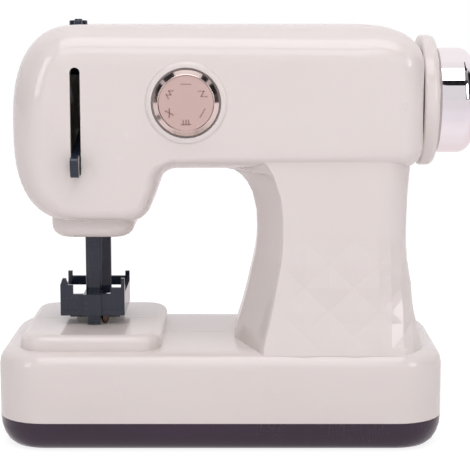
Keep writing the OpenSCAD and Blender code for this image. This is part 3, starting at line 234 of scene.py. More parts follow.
class MaterialSheet(NodeSheet):
    """A material on the work table, with its shader and short ways to place groups."""

    def __init__(self, name: str) -> None:
        """Make a material with one Principled shader.

        Args:
            name: Name of the material.
        """
        self.material = bpy.data.materials.new(name)
        self.material.use_nodes = True
        super().__init__(self.material.node_tree)
        self.shader = self.tree.nodes["Principled BSDF"]

    def group(self, tree: bpy.types.NodeTree, **values: float) -> bpy.types.ShaderNodeGroup:
        """Place a group with its own values.

        Args:
            tree: The group.
            values: Input values, with underscores for spaces in the inputs' names.

        Returns:
            The placed group node.
        """
        node = self.add("ShaderNodeGroup")
        node.node_tree = tree
        for title, value in values.items():
            self.feed(node.inputs[title.replace("_", " ")], value)
        return node

    def shade(self, title: str, value: object) -> None:
        """Link a value to one of the shader's inputs, or set that input."""
        self.feed(self.shader.inputs[title], value)

    def bump(self, height: Socket, depth: float) -> None:
        """Raise the surface by a height.

        Args:
            height: Height, from 0 to 1.
            depth: Depth of the full height, in millimetres.
        """
        node = self.add("ShaderNodeBump")
        self.feed(node.inputs["Strength"], 1.0)
        self.feed(node.inputs["Distance"], depth * MM)
        self.feed(node.inputs["Height"], height)
        self.shade("Normal", node.outputs["Normal"])

    def switch(self, share: Socket, first: Socket, second: Socket) -> Socket:
        """Mix two shaders by the share of the second.

        Args:
            share: How much of the second shows.
            first: A shader.
            second: Another shader.

        Returns:
            The mixed shader.
        """
        node = self.add("ShaderNodeMixShader")
        for socket, value in zip(node.inputs, (share, first, second)):
            self.feed(socket, value)
        return node.outputs[0]


# Surface effects that several finishes share


class Surface:
    """The shared surface effects, each a node group that is built once."""

    @staticmethod
    @cache
    def mould_grain() -> bpy.types.NodeTree:
        """Skin of a moulding: a fine waviness, and slow drifts of tone where the plastic flowed.

        Returns:
            The group.
        """
        sheet = GroupSheet("mould_grain", {"Grain Scale": 900.0, "Flow Scale": 22.0}, ("Height", "Flow"))
        sheet.give("Height", sheet.noise(sheet.given("Grain Scale"), detail=2.0))
        slow = sheet.noise(sheet.given("Flow Scale"), detail=3.0, stretch=(0.6, 1.0, 1.6))
        sheet.give("Flow", sheet.span(slow, low=0.32, high=0.68))
        return sheet.tree

    @staticmethod
    @cache
    def handling_scuffs() -> bpy.types.NodeTree:
        """Hair-fine rub marks that lie in patches where hands and tables touch a toy.

        Returns:
            The group.
        """
        sheet = GroupSheet("handling_scuffs", {"Hair Scale": 260.0, "Patch Scale": 34.0}, ("Mask",))
        hairs = []
        for stretch in ((0.16, 1.0, 2.6), (2.2, 1.0, 0.2)):
            line = sheet.noise(sheet.given("Hair Scale"), detail=1.0, stretch=stretch)
            ridge = sheet.math("ABSOLUTE", sheet.math("SUBTRACT", line, 0.5), 0.0)
            hairs.append(sheet.span(ridge, low=0.0, high=0.012, start=1.0, stop=0.0))
        patch = sheet.span(sheet.noise(sheet.given("Patch Scale"), detail=2.0), low=0.5, high=0.68)
        sheet.give("Mask", sheet.math("MULTIPLY", sheet.math("MAXIMUM", *hairs), patch))
        return sheet.tree

    @staticmethod
    @cache
    def settled_dust() -> bpy.types.NodeTree:
        """Sparse grains of dust, one in a few cells of a cell pattern.

        Returns:
            The group.
        """
        sheet = GroupSheet("settled_dust", {"Grain Scale": 320.0, "Share": 0.08}, ("Mask",))
        cells = sheet.add("ShaderNodeTexVoronoi")
        sheet.feed(cells.inputs["Vector"], sheet.place)
        sheet.feed(cells.inputs["Scale"], sheet.given("Grain Scale"))
        parts = sheet.add("ShaderNodeSeparateColor")
        sheet.feed(parts.inputs["Color"], cells.outputs["Color"])
        chosen = sheet.math("LESS_THAN", parts.outputs["Red"], sheet.given("Share"))
        grain = sheet.span(cells.outputs["Distance"], low=0.05, high=0.16, start=1.0, stop=0.0)
        sheet.give("Mask", sheet.math("MULTIPLY", grain, chosen))
        return sheet.tree

    @staticmethod
    @cache
    def plating_ripple() -> bpy.types.NodeTree:
        """Slow ripple and faint clouding of a plated skin.

        Returns:
            The group.
        """
        scales = {"Ripple Scale": 150.0, "Cloud Scale": 60.0}
        sheet = GroupSheet("plating_ripple", scales, ("Height", "Cloud"))
        sheet.give("Height", sheet.noise(sheet.given("Ripple Scale"), detail=1.0))
        cloud = sheet.noise(sheet.given("Cloud Scale"), detail=3.0)
        sheet.give("Cloud", sheet.span(cloud, low=0.35, high=0.7))
        return sheet.tree

    @staticmethod
    @cache
    def drawn_lines() -> bpy.types.NodeTree:
        """Fine lines along X, as drawn or turned metal has.

        Returns:
            The group.
        """
        sheet = GroupSheet("drawn_lines", {"Line Scale": 700.0}, ("Height", "Tone"))
        lines = sheet.noise(sheet.given("Line Scale"), detail=3.0, stretch=(0.05, 1.0, 1.0))
        sheet.give("Height", lines)
        sheet.give("Tone", sheet.span(lines, low=0.3, high=0.7))
        return sheet.tree


# Finishes


@dataclass(frozen=True)
class Finish:
    """A finish: its slot in the record, a tone that drifts to a second one, and a span of roughness."""

    name: str
    slot: str
    tone: Colour
    drift: Colour
    gloss: tuple[float, float]

    def material(self) -> bpy.types.Material:
        """Return the material, made at its first use."""
        return bpy.data.materials.get(self.name) or self.lay_out(MaterialSheet(self.name))

    def lay_out(self, sheet: MaterialSheet) -> bpy.types.Material:
        """Lay the finish out on a new sheet and return its material."""
        raise NotImplementedError


@dataclass(frozen=True)
class MouldedPlastic(Finish):
    """A moulded plastic with a skin, slow drifts of tone, rub marks and a little dust."""

    grain_depth: float = 0.002
    scuffs: float = 0.0
    dust: float = 0.0
    wear_tone: Colour = (0.8, 0.78, 0.76)
    rub_share: float = 0.6
    rub_roughness: float = 0.45
    ior: float = 1.5

    def lay_out(self, sheet: MaterialSheet) -> bpy.types.Material:
        """Lay the plastic out on a new sheet.

        Args:
            sheet: The new sheet.

        Returns:
            The finished material.
        """
        skin = sheet.group(Surface.mould_grain()).outputs
        rubs = sheet.group(Surface.handling_scuffs()).outputs["Mask"]
        grains = sheet.group(Surface.settled_dust()).outputs["Mask"]
        colour = sheet.mix(Mix.COLOURS, skin["Flow"], self.tone, self.drift)
        for mask, share in ((rubs, self.scuffs), (grains, self.dust)):
            colour = sheet.mix(Mix.COLOURS, sheet.math("MULTIPLY", mask, share), colour, self.wear_tone)
        sheet.shade("Base Color", colour)
        rough = sheet.mix(Mix.NUMBERS, skin["Flow"], *self.gloss)
        rubbed = sheet.math("MULTIPLY", rubs, self.rub_share)
        sheet.shade("Roughness", sheet.mix(Mix.NUMBERS, rubbed, rough, self.rub_roughness))
        sheet.bump(skin["Height"], self.grain_depth)
        sheet.shade("IOR", self.ior)
        return sheet.material


@dataclass(frozen=True)
class PlatedSkin(Finish):
    """A plated or satin metal skin over plastic, with a slow ripple."""

    ripple_depth: float = 0.004
    ripple_scale: float = 150.0
    rub_share: float = 0.35
    rub_roughness: float = 0.3

    def lay_out(self, sheet: MaterialSheet) -> bpy.types.Material:
        """Lay the plating out on a new sheet.

        Args:
            sheet: The new sheet.

        Returns:
            The finished material.
        """
        skin = sheet.group(Surface.plating_ripple(), Ripple_Scale=self.ripple_scale).outputs
        rubs = sheet.group(Surface.handling_scuffs()).outputs["Mask"]
        sheet.shade("Base Color", sheet.mix(Mix.COLOURS, skin["Cloud"], self.tone, self.drift))
        rough = sheet.mix(Mix.NUMBERS, skin["Cloud"], *self.gloss)
        rubbed = sheet.math("MULTIPLY", rubs, self.rub_share)
        sheet.shade("Roughness", sheet.mix(Mix.NUMBERS, rubbed, rough, self.rub_roughness))
        sheet.bump(skin["Height"], self.ripple_depth)
        sheet.shade("Metallic", 1.0)
        return sheet.material


@dataclass(frozen=True)
class DrawnMetal(Finish):
    """A drawn or turned metal with fine lines."""

    line_depth: float = 0.004

    def lay_out(self, sheet: MaterialSheet) -> bpy.types.Material:
        """Lay the metal out on a new sheet.

        Args:
            sheet: The new sheet.

        Returns:
            The finished material.
        """
        lines = sheet.group(Surface.drawn_lines()).outputs
        sheet.shade("Base Color", sheet.mix(Mix.COLOURS, lines["Tone"], self.tone, self.drift))
        sheet.shade("Roughness", sheet.mix(Mix.NUMBERS, lines["Tone"], *self.gloss))
        sheet.bump(lines["Height"], self.line_depth)
        sheet.shade("Metallic", 1.0)
        return sheet.material


CREAM = MouldedPlastic("cream_gloss", "cream_plastic", (0.682, 0.614, 0.574), (0.667, 0.598, 0.559),
                       (0.065, 0.11), grain_depth=0.0008, scuffs=0.05, dust=0.12)
BROWN = MouldedPlastic("brown_gloss", "brown_plastic", (0.028, 0.010, 0.028), (0.023, 0.008, 0.024),
                       (0.16, 0.24), scuffs=0.01, dust=0.03)
SLATE = MouldedPlastic("slate_gloss", "slate_plastic", (0.021, 0.027, 0.043), (0.017, 0.021, 0.034),
                       (0.05, 0.10), scuffs=0.04, dust=0.08)
NYLON = MouldedPlastic("natural_nylon", "nylon", (0.78, 0.76, 0.68), (0.72, 0.70, 0.61),
                       (0.42, 0.55), grain_depth=0.006, scuffs=0.05)
ROSE = PlatedSkin("rose_plating", "rose_plating", (0.86, 0.70, 0.67), (0.83, 0.66, 0.63), (0.03, 0.07))
BLUSH = PlatedSkin("blush_chrome", "rose_plating", (0.93, 0.885, 0.90), (0.91, 0.86, 0.88),
                   (0.02, 0.05))
# Darker rose for the dial's raised marks: painted shade that stands in for the dark the marks mirror
ROSE_PAINTED_SHADE = PlatedSkin("rose_painted_shade", "rose_plating", (0.52, 0.35, 0.32), (0.48, 0.32, 0.29),
                       (0.10, 0.16))
ROSE_SATIN = PlatedSkin("rose_satin", "rose_plating", (0.81, 0.595, 0.545), (0.78, 0.565, 0.515),
                        (0.36, 0.44), ripple_depth=0.002, ripple_scale=900.0)
STEEL = DrawnMetal("bright_steel", "steel", (0.62, 0.63, 0.65), (0.54, 0.55, 0.57), (0.22, 0.34))
# Needle-tip bronze, darkened to the shade it sits in under the foot: part the metal's own brown, part
# painted shade
BRONZE_WITH_PAINTED_SHADE = DrawnMetal("bronze_with_painted_shade", "copper", (0.11, 0.068, 0.054), (0.085, 0.053, 0.043), (0.26, 0.40))
COPPER = DrawnMetal("bare_copper", "copper", (0.72, 0.38, 0.24), (0.62, 0.31, 0.19), (0.24, 0.36))
CELL = DrawnMetal("cell_sleeve", "cell_case", (0.38, 0.39, 0.42), (0.32, 0.33, 0.36), (0.30, 0.42))
MOTOR = DrawnMetal("motor_can_metal", "motor_case", (0.58, 0.59, 0.60), (0.50, 0.51, 0.53),
                   (0.28, 0.40))


# Hand operations


def deselect_all() -> None:
    """Leave no object selected."""
    bpy.ops.object.select_all(action="DESELECT")


class Workpiece:
    """One mesh object and the hand operations that shape it. Lengths are in millimetres."""

    def __init__(self, obj: bpy.types.Object) -> None:
        """Take an object on the table."""
        self.obj = obj

    @classmethod
    def _adopt(cls, name: str) -> "Workpiece":
        """Name the newly added primitive, settle it and take it.

        Args:
            name: Name of the piece.

        Returns:
            The piece.
        """
        obj = bpy.context.active_object
        obj.name = name
        obj.data.name = name
        piece = cls(obj)
        piece.settle()
        return piece

    @classmethod
    def disc(cls, name: str, radius: float, height: float, sides: int, turn: float) -> "Workpiece":
        """Add a flat disc.

        Args:
            name: Name of the piece.
            radius: Radius over its corners.
            height: Height of the disc.
            sides: Number of its sides.
            turn: Angle of its first corner, in degrees.

        Returns:
            The disc.
        """
        deselect_all()
        bpy.ops.mesh.primitive_circle_add(vertices=sides, radius=radius * MM, fill_type="NGON",
                                          location=(0, 0, height * MM),
                                          rotation=(0, 0, math.radians(turn)))
        return cls._adopt(name)

    @classmethod
    def block(cls, name: str, low: Point, high: Point) -> "Workpiece":
        """Add a block between two corners.

        Args:
            name: Name of the piece.
            low: Its lowest corner.
            high: Its highest corner.

        Returns:
            The block.
        """
        deselect_all()
        a, b = Vector(low) * MM, Vector(high) * MM
        bpy.ops.mesh.primitive_cube_add(size=1, location=(a + b) / 2, scale=b - a)
        return cls._adopt(name)

    @classmethod
    def turned(cls, name: str, profile: Profile, sides: int, turn: float = 0.0) -> "Workpiece":
        """Draw a disc out through the steps of a profile.

        Args:
            name: Name of the piece.
            profile: Height and radius of each step, from the foot up.
            sides: Number of sides.
            turn: Angle of the first corner, in degrees.

        Returns:
            The closed turned piece, upright on its axis.
        """
        piece = cls.disc(name, profile[0][1], profile[0][0], sides, turn)
        with piece.editing(Part.FACES):
            bpy.ops.mesh.select_all(action="SELECT")
            for (h0, r0), (h1, r1) in zip(profile, profile[1:]):
                rise = (0, 0, (h1 - h0) * MM)
                bpy.ops.mesh.extrude_region_move(TRANSFORM_OT_translate={"value": rise})
                ratio = r1 / r0
                bpy.ops.transform.resize(value=(ratio, ratio, 1), center_override=(0, 0, h1 * MM))
            bpy.ops.mesh.select_all(action="SELECT")
            bpy.ops.mesh.normals_make_consistent(inside=False)
        return piece

    @classmethod
    def from_node(cls, name: str, node: str) -> "Workpiece":
        """Copy a CAD node's mesh and close its loose triangles into one skin.

        Args:
            name: Name of the piece.
            node: The CAD node.

        Returns:
            The copy.
        """
        deselect_all()
        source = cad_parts[node]
        obj = bpy.data.objects.new(name, source.data.copy())
        obj.data.name = name
        obj.data.materials.clear()
        bpy.context.scene.collection.objects.link(obj)
        piece = cls(obj)
        with piece.editing(Part.FACES):
            bpy.ops.mesh.select_all(action="SELECT")
            bpy.ops.mesh.customdata_custom_splitnormals_clear()
            bpy.ops.mesh.remove_doubles(threshold=MERGE_REACH)
        return piece

    @classmethod
    def joined(cls, name: str, pieces: Sequence["Workpiece"]) -> "Workpiece":
        """Join pieces into the first of them and name it.

        Args:
            name: Name of the joined piece.
            pieces: The pieces.

        Returns:
            The joined piece.
        """
        first = pieces[0]
        first.make_active()
        for other in pieces[1:]:
            other.obj.select_set(True)
        bpy.ops.object.join()
        first.obj.name = name
        return first

    def make_active(self) -> None:
        """Select this object alone."""
        deselect_all()
        self.obj.select_set(True)
        bpy.context.view_layer.objects.active = self.obj

    def settle(self) -> None:
        """Put the object's place, turn and scale into its mesh."""
        self.make_active()
        bpy.ops.object.transform_apply(location=True, rotation=True, scale=True)

    def place(self, matrix: Matrix) -> "Workpiece":
        """Move the piece by a matrix and settle it there.

        Args:
            matrix: The move, in metres.

        Returns:
            The same piece.
        """
        self.obj.matrix_world = matrix
        self.settle()
        return self

    @contextmanager
    def editing(self, part: Part) -> Iterator[None]:
        """Open the mesh in edit mode with nothing selected.

        Args:
            part: What is selected in it.

        Yields:
            Nothing; edit mode ends with the block.
        """
        self.make_active()
        bpy.ops.object.mode_set(mode="EDIT")
        bpy.ops.mesh.select_mode(type=part.value)
        bpy.ops.mesh.select_all(action="DESELECT")
        yield
        bpy.ops.object.mode_set(mode="OBJECT")

    def pick(self, part: Part, test: Callable[[object], bool]) -> int:
        """Select the edges or faces that pass a test, in edit mode.

        Args:
            part: What is picked.
            test: Says whether an edge or a face is picked.

        Returns:
            How many were picked.
        """
        bpy.ops.mesh.select_all(action="DESELECT")
        mesh = bmesh.from_edit_mesh(self.obj.data)
        items = mesh.edges if part is Part.EDGES else mesh.faces
        chosen = [item for item in items if test(item)]
        for item in chosen:
            item.select_set(True)
        mesh.select_flush_mode()
        bmesh.update_edit_mesh(self.obj.data)
        return len(chosen)

    def round_edges(self, test: Callable[[object], bool], width: float, steps: int) -> None:
        """Bevel the edges that pass a test.

        Args:
            test: Says whether an edge is rounded.
            width: Width of the rounding.
            steps: Number of its segments.
        """
        with self.editing(Part.EDGES):
            if self.pick(Part.EDGES, test):
                bpy.ops.mesh.bevel(offset=width * MM, segments=steps, affect="EDGES",
                                   clamp_overlap=True)

    def flatten_facets(self, angle: float = 0.3) -> None:
        """Join the triangles of each flat face.

        Args:
            angle: Triangles that turn by less than this are joined, in degrees.
        """
        with self.editing(Part.FACES):
            bpy.ops.mesh.select_all(action="SELECT")
            bpy.ops.mesh.dissolve_limited(angle_limit=math.radians(angle))

    def apply(self, kind: str, **values: object) -> None:
        """Add a modifier with its values and apply it.

        Args:
            kind: Kind of modifier.
            values: Its settings by name.
        """
        self.make_active()
        modifier = self.obj.modifiers.new(kind.lower(), kind)
        for title, value in values.items():
            setattr(modifier, title, value)
        bpy.ops.object.modifier_apply(modifier=modifier.name)

    def soften(self, width: float, steps: int = 2, angle: float = 30.0) -> None:
        """Round every sharp edge a little.

        Args:
            width: Width of the rounding.
            steps: Number of its segments.
            angle: Edges sharper than this are rounded, in degrees.
        """
        self.apply("BEVEL", width=width * MM, segments=steps, limit_method="ANGLE",
                   angle_limit=math.radians(angle), use_clamp_overlap=True)

    def smooth(self, angle: float = 35.0, sharp: Callable[[object], bool] | None = None) -> None:
        """Shade the piece smoothly and weight its normals by face area.

        Args:
            angle: Edges sharper than this stay sharp, in degrees.
            sharp: Says which other edges stay sharp.
        """
        self.make_active()
        bpy.ops.object.shade_smooth_by_angle(angle=math.radians(angle))
        if sharp is not None:
            with self.editing(Part.EDGES):
                self.pick(Part.EDGES, sharp)
                bpy.ops.mesh.mark_sharp()
        self.apply("WEIGHTED_NORMAL", keep_sharp=True, weight=50)

    def dress(self, finish: Finish, body: str, *nodes: str) -> None:
        """Give the piece its finish, its body and the CAD nodes that it stands for.

        Args:
            finish: The finish.
            body: CAD body that carries it.
            nodes: CAD nodes that it stands for.
        """
        self.obj.data.materials.clear()
        self.obj.data.materials.append(finish.material())
        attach(self.obj, body)
        if nodes:
            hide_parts(*nodes)
        count = sum(len(p.vertices) - 2 for p in self.obj.data.polygons)
        log.info("%s: %d triangles on %s, %s", self.obj.name, count, body, finish.name)


def arc(h: float, r: float, size_h: float, size_r: float, start: float, stop: float,
        steps: int) -> Profile:
    """Points of a round in a turned profile.

    Args:
        h: Height of the round's middle.
        r: Radius of the round's middle from the axis.
        size_h: Half size along the axis.
        size_r: Half size across the axis.
        start: First angle, in degrees; 0 points outwards and 90 up.
        stop: Last angle.
        steps: Number of steps.

    Returns:
        Height and radius of each point.
    """
    angles = [math.radians(start + (stop - start) * i / steps) for i in range(steps + 1)]
    return [(h + size_h * math.sin(a), r + size_r * math.cos(a)) for a in angles]


def same(a: float, b: float) -> bool:
    """Whether two coordinates are the same place."""
    return abs(a - b) < SAME_PLACE


# Sub-assemblies


@dataclass
class BodyShells:
    """The two cream halves of the body, the dark tray and the battery cover."""

    smooth_angle: float = 30.0
    facet_angle: float = 1.5
    pattern_low: Point = (14.0, -60.0, 37.0)
    pattern_high: Point = (80.0, 60.0, 79.0)
    halves: tuple[str, ...] = ("front_shell", "back_shell")
    dark_parts: tuple[str, ...] = ("bottom_tray", "battery_cover")

    def _facet_edge(self, edge: bmesh.types.BMEdge) -> bool:
        """Whether an edge is a ridge of the column's diamond pattern.

        Args:
            edge: The edge.

        Returns:
            True for a ridge.
        """
        inside = all(low * MM <= c <= high * MM for v in edge.verts
                     for low, c, high in zip(self.pattern_low, v.co, self.pattern_high))
        return inside and edge.calc_face_angle(0.0) > math.radians(self.facet_angle)

    def build(self) -> None:
        """Close, smooth and dress the four mouldings."""
        for node in self.halves:
            half = Workpiece.from_node(node + "_skin", node)
            half.smooth(self.smooth_angle, self._facet_edge)
            half.dress(CREAM, "body", node)
        for node in self.dark_parts:
            part = Workpiece.from_node(node + "_skin", node)
            part.smooth(self.smooth_angle)
            part.dress(BROWN, "body", node)


@dataclass
class HandWheel:
    """The cream collar and the faceted plated knob on the shaft's end."""

    axis_z: float = 126.2
    collar_x: float = 67.8
    collar_r: float = 24.5
    collar_w: float = 5.9
    collar_round: float = 2.6
    collar_sides: int = 96
    collar_smooth: float = 40.0
    arm_round: float = 1.0
    knob_x: float = 73.7
    knob_r: float = 19.8
    knob_len: float = 15.0
    knob_smooth: float = 14.0
    flats: int = 24
    first_corner: float = 8.0
    foot_draw: float = 1.15
    dome_len: float = 6.0
    dome_draw: float = 8.0
    ridge: float = 1.2
    ridge_steps: int = 4
    ridge_drift: float = 0.01

    def build(self) -> None:
        """Turn, facet and dress the collar and the knob."""
        near, far = self.arm_round, self.collar_round
        rim = arc(near, self.collar_r - near, near, near, -90, 0, steps=6)
        rim += arc(self.collar_w - far, self.collar_r - far, far, far, 0, 90, steps=8)
        collar = Workpiece.turned("collar", rim, self.collar_sides)
        collar.place(Facing.RIGHT.matrix((self.collar_x, 0, self.axis_z)))
        collar.smooth(self.collar_smooth)
        collar.dress(CREAM, "handwheel", "handwheel_collar")

        straight = self.knob_len - self.dome_len
        dome_r = self.knob_r - self.dome_draw
        profile = [(0.0, self.knob_r - self.foot_draw), (self.foot_draw, self.knob_r)]
        profile += arc(straight, dome_r, self.dome_len, self.dome_draw, 0, 90, steps=12)
        knob = Workpiece.turned("faceted_knob", profile, self.flats, self.first_corner)
        knob.round_edges(self._ridge, self.ridge, self.ridge_steps)
        knob.place(Facing.RIGHT.matrix((self.knob_x, 0, self.axis_z)))
        knob.smooth(self.knob_smooth)
        knob.dress(BLUSH, "handwheel", "handwheel_knob")

    def _ridge(self, edge: bmesh.types.BMEdge) -> bool:
        """Whether an edge of the upright knob runs along it, between two flats.

        Args:
            edge: The edge.

        Returns:
            True for a ridge.
        """
        a, b = (v.co for v in edge.verts)
        drift = abs(math.atan2(a.y, a.x) - math.atan2(b.y, b.x))
        return not same(a.z, b.z) and drift < self.ridge_drift


@dataclass
class StitchDial:
    """The plated dial with its satin face and six plain raised marks."""

    centre: Point = (-18.65, -29.5, 126.9)
    radius: float = 11.85
    depth: float = 4.1
    sides: int = 128
    foot_bevel: float = 0.15
    rim_round: float = 0.25
    bevel: float = 1.7
    land_r: float = 10.15
    land_w: float = 0.06
    lip_h: float = 0.1
    lip_w: float = 0.05
    recess_r: float = 9.94
    floor: float = 2.7
    face_r: float = 9.9
    face_top: float = 3.6
    face_round: float = 0.2
    face_sides: int = 96
    mark_ring: float = 6.87
    mark_size: float = 3.3
    mark_line: float = 0.5
    mark_rise: float = 0.25
    mark_sink: float = 0.1
    mark_edge: float = 0.09
    marks: tuple[tuple[Stroke, ...], ...] = (
        (((-0.5, 0), (0.5, 0)),),
        (((-0.5, -0.25), (-0.17, 0.25)), ((-0.17, 0.25), (0.17, -0.25)), ((0.17, -0.25), (0.5, 0.25))),
        (((-0.5, 0), (-0.22, 0)), ((-0.1, 0), (0.1, 0)), ((0.22, 0), (0.5, 0))),
        (((-0.5, -0.2), (0.5, -0.2)), ((-0.3, -0.2), (-0.3, 0.25)), ((0, -0.2), (0, 0.25)),
         ((0.3, -0.2), (0.3, 0.25))),
        (((-0.4, -0.25), (0.4, 0.25)), ((-0.4, 0.25), (0.4, -0.25))),
        (((-0.5, 0.2), (-0.25, -0.2)), ((-0.25, -0.2), (0, 0.2)), ((0, 0.2), (0.25, -0.2)),
         ((0.25, -0.2), (0.5, 0.2))),
    )

    def _stroke(self, start: tuple[float, float], stop: tuple[float, float], mark: int) -> Workpiece:
        """Model one stroke of a mark.

        Args:
            start: Its first end, in parts of the mark's size.
            stop: Its other end.
            mark: Number of its mark around the face.

        Returns:
            The stroke, in its place on the upright dial.
        """
        run = (Vector(stop) - Vector(start)) * self.mark_size
        half = self.mark_line / 2
        bar = Workpiece.block("mark_stroke", (-half, -half, -self.mark_sink),
                              (run.length + half, half, self.mark_rise))
        bar.round_edges(lambda e: all(v.co.z > 0 for v in e.verts), self.mark_edge, steps=2)
        angle = math.atan2(run.y, run.x)
        spot = Vector((start[0], start[1], 0)) * self.mark_size * MM
        turn = math.radians(90 - mark * 360 / len(self.marks))
        reach = Matrix.Translation((self.mark_ring * MM, 0, self.face_top * MM))
        ring = Matrix.Rotation(turn, 4, "Z") @ reach
        local = Matrix.Rotation(math.radians(90), 4, "Z") @ Matrix.Translation(spot)
        return bar.place(ring @ local @ Matrix.Rotation(angle, 4, "Z"))

    def build(self) -> None:
        """Turn the dial and its face, raise the marks and dress them."""
        stand = Facing.FRONT.matrix(self.centre)
        edge = self.rim_round
        rim = [(0.0, self.radius - self.foot_bevel), (self.foot_bevel, self.radius)]
        rim += arc(self.depth - self.bevel, self.radius - edge, edge, edge, 0, 45, steps=4)
        rim += arc(self.depth - edge, self.land_r, edge, edge, 45, 90, steps=4)
        rim += [(self.depth, self.land_r - self.land_w),
                (self.depth - self.lip_h, self.recess_r + self.lip_w), (self.floor, self.recess_r)]
        dial = Workpiece.turned("dial_ring", rim, self.sides)
        dial.place(stand)
        dial.smooth()
        dial.dress(ROSE, "dial", "stitch_dial")

        edge = self.face_round
        shoulder = self.face_top - edge
        plate = [(self.floor, self.face_r), (shoulder, self.face_r)]
        plate += arc(shoulder, self.face_r - edge, edge, edge, 30, 90, steps=3)
        face = Workpiece.turned("dial_plate", plate, self.face_sides)
        face.smooth()
        strokes = [self._stroke(a, b, i) for i, mark in enumerate(self.marks) for a, b in mark]
        marks = Workpiece.joined("dial_marks", strokes)
        marks.place(stand)
        marks.smooth()
        # The marks take the darker rose: painted shade for the dark they mirror, over the dial's own
        # plating
        marks.dress(ROSE_PAINTED_SHADE, "dial")
        face.place(stand)
        face.dress(ROSE_SATIN, "dial", "dial_face")


@dataclass
class PushButton:
    """The slate button on the head's top, with its collar inside the shell and the spring below it."""

    x: float = -60.0
    sides: int = 48
    flange_z: float = 150.3
    flange_h: float = 1.2
    flange_r: float = 4.6
    radius: float = 3.4
    top: float = 156.1
    crown: float = 0.5
    dish: float = 0.12
    dish_rim: float = 0.9
    pip_r: float = 1.5
    pip_h: float = 0.5
    pip_flare: float = 0.3
    pip_round: float = 0.2
    travel: float = 1.45
    spring_smooth: float = 50.0

    def build(self) -> None:
        """Turn and dress the button, and dress its spring on a mesh of its own."""
        shoulder = self.flange_z + self.flange_h
        crown, pip = self.crown, self.pip_round
        profile = [(self.flange_z, self.flange_r), (shoulder, self.flange_r), (shoulder, self.radius)]
        profile += arc(self.top - crown, self.radius - crown, crown, crown, 0, 90, steps=5)
        profile += [(self.top - self.dish, self.radius - self.dish_rim),
                    (self.top - self.dish, self.pip_r + self.pip_flare), (self.top, self.pip_r)]
        profile += arc(self.top + self.pip_h - pip, self.pip_r - self.pip_flare, pip, pip, 0, 90, steps=3)
        button = Workpiece.turned("push_button", profile, self.sides)
        button.place(Facing.UP.matrix((self.x, 0, 0)))
        button.smooth()
        button.dress(SLATE, "button", "top_button")

        spring = Workpiece.from_node("return_spring", "button_spring")
        spring.smooth(self.spring_smooth)
        spring.dress(STEEL, "body", "button_spring")
        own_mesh(spring.obj)


@dataclass
class NeedleFoot:
    """The slate needle bar with its rib, the foot that it carries with its sole, and the brown tip."""

    bar_low: Point = (-58.0, -7.0, 52.29)
    bar_high: Point = (-51.8, 1.0, 99.9)
    rib_out: float = 3.1
    rib_front: float = -4.4
    rib_slope: float = 2.6
    front_round: float = 1.2
    front_steps: int = 6
    edge: float = 0.18
    upright: float = 10.0
    foot_edge: float = 0.16
    sole: tuple[tuple[Point, Point], ...] = (
        ((-65.28, -11.98, 45.72), (-58.37, 15.4, 46.9)),
        ((-58.35, 2.62, 45.72), (-51.45, 15.4, 46.9)),
        ((-51.43, -11.98, 45.72), (-44.52, 15.4, 46.9)),
        ((-63.7, -10.3, 44.5), (-44.8, 15.0, 45.68)),
    )
    tip_place: Point = (-50.3, -12.0, 0.0)
    tip_low: float = 42.5
    tip_high: float = 45.7
    tip_r: float = 1.5
    tip_point: float = 0.4
    tip_bevel: float = 0.15
    tip_sides: int = 32
    tip_smooth: float = 30.0

    def _bar(self) -> None:
        """Model the bar: a block, split behind its front, with the rib drawn out of its right side."""
        bar = Workpiece.block("needle_bar_rod", self.bar_low, self.bar_high)
        front = self.bar_low[1] * MM
        split = self.rib_front * MM
        outer = self.bar_high[0] * MM + self.rib_out * MM
        with bar.editing(Part.FACES):
            bpy.ops.mesh.select_all(action="SELECT")
            bpy.ops.mesh.bisect(plane_co=(0, split, 0), plane_no=(0, 1, 0))
            bar.pick(Part.FACES, lambda f: f.normal.x > LOOKS_ALONG
                     and f.calc_center_median().y > split)
            draw = (self.rib_out * MM, 0, 0)
            bpy.ops.mesh.extrude_region_move(TRANSFORM_OT_translate={"value": draw})
        with bar.editing(Part.EDGES):
            bar.pick(Part.EDGES, lambda e: all(same(v.co.x, outer) and same(v.co.y, split)
                                               for v in e.verts))
            bpy.ops.transform.translate(value=(0, self.rib_slope * MM, 0))
        bar.round_edges(lambda e: all(same(v.co.y, front) for v in e.verts)
                        and abs(e.verts[0].co.z - e.verts[1].co.z) > self.upright * MM,
                        self.front_round, self.front_steps)
        bar.round_edges(lambda e: all(same(v.co.x, outer) for v in e.verts), self.edge, steps=2)
        bar.smooth()
        bar.dress(SLATE, "needle", "needle_bar")

    def _foot(self) -> None:
        """Close, soften and dress the foot."""
        foot = Workpiece.from_node("presser_foot", "foot_frame")
        foot.flatten_facets()
        foot.soften(self.foot_edge)
        foot.smooth()
        foot.dress(SLATE, "needle", "foot_frame")

    def _sole(self) -> None:
        """Close the foot below: a floor beside and behind the bar's block, and a sole under it."""
        blocks = [Workpiece.block("sole_block", low, high) for low, high in self.sole]
        sole = Workpiece.joined("foot_sole", blocks)
        sole.soften(self.foot_edge)
        sole.smooth()
        sole.dress(SLATE, "needle")

    def _tip(self) -> None:
        """Turn and dress the brown tip."""
        profile = [(self.tip_low, self.tip_r * self.tip_point), (self.tip_low + self.tip_r, self.tip_r),
                   (self.tip_high - self.tip_bevel, self.tip_r),
                   (self.tip_high, self.tip_r - self.tip_bevel)]
        tip = Workpiece.turned("copper_tip", profile, self.tip_sides)
        tip.place(Facing.UP.matrix(self.tip_place))
        tip.smooth(self.tip_smooth)
        # The tip's darkened tone is partly painted shade from under the foot
        tip.dress(BRONZE_WITH_PAINTED_SHADE, "needle", "needle_tip")

    def build(self) -> None:
        """Make the four pieces."""
        self._bar()
        self._foot()
        self._sole()
        self._tip()


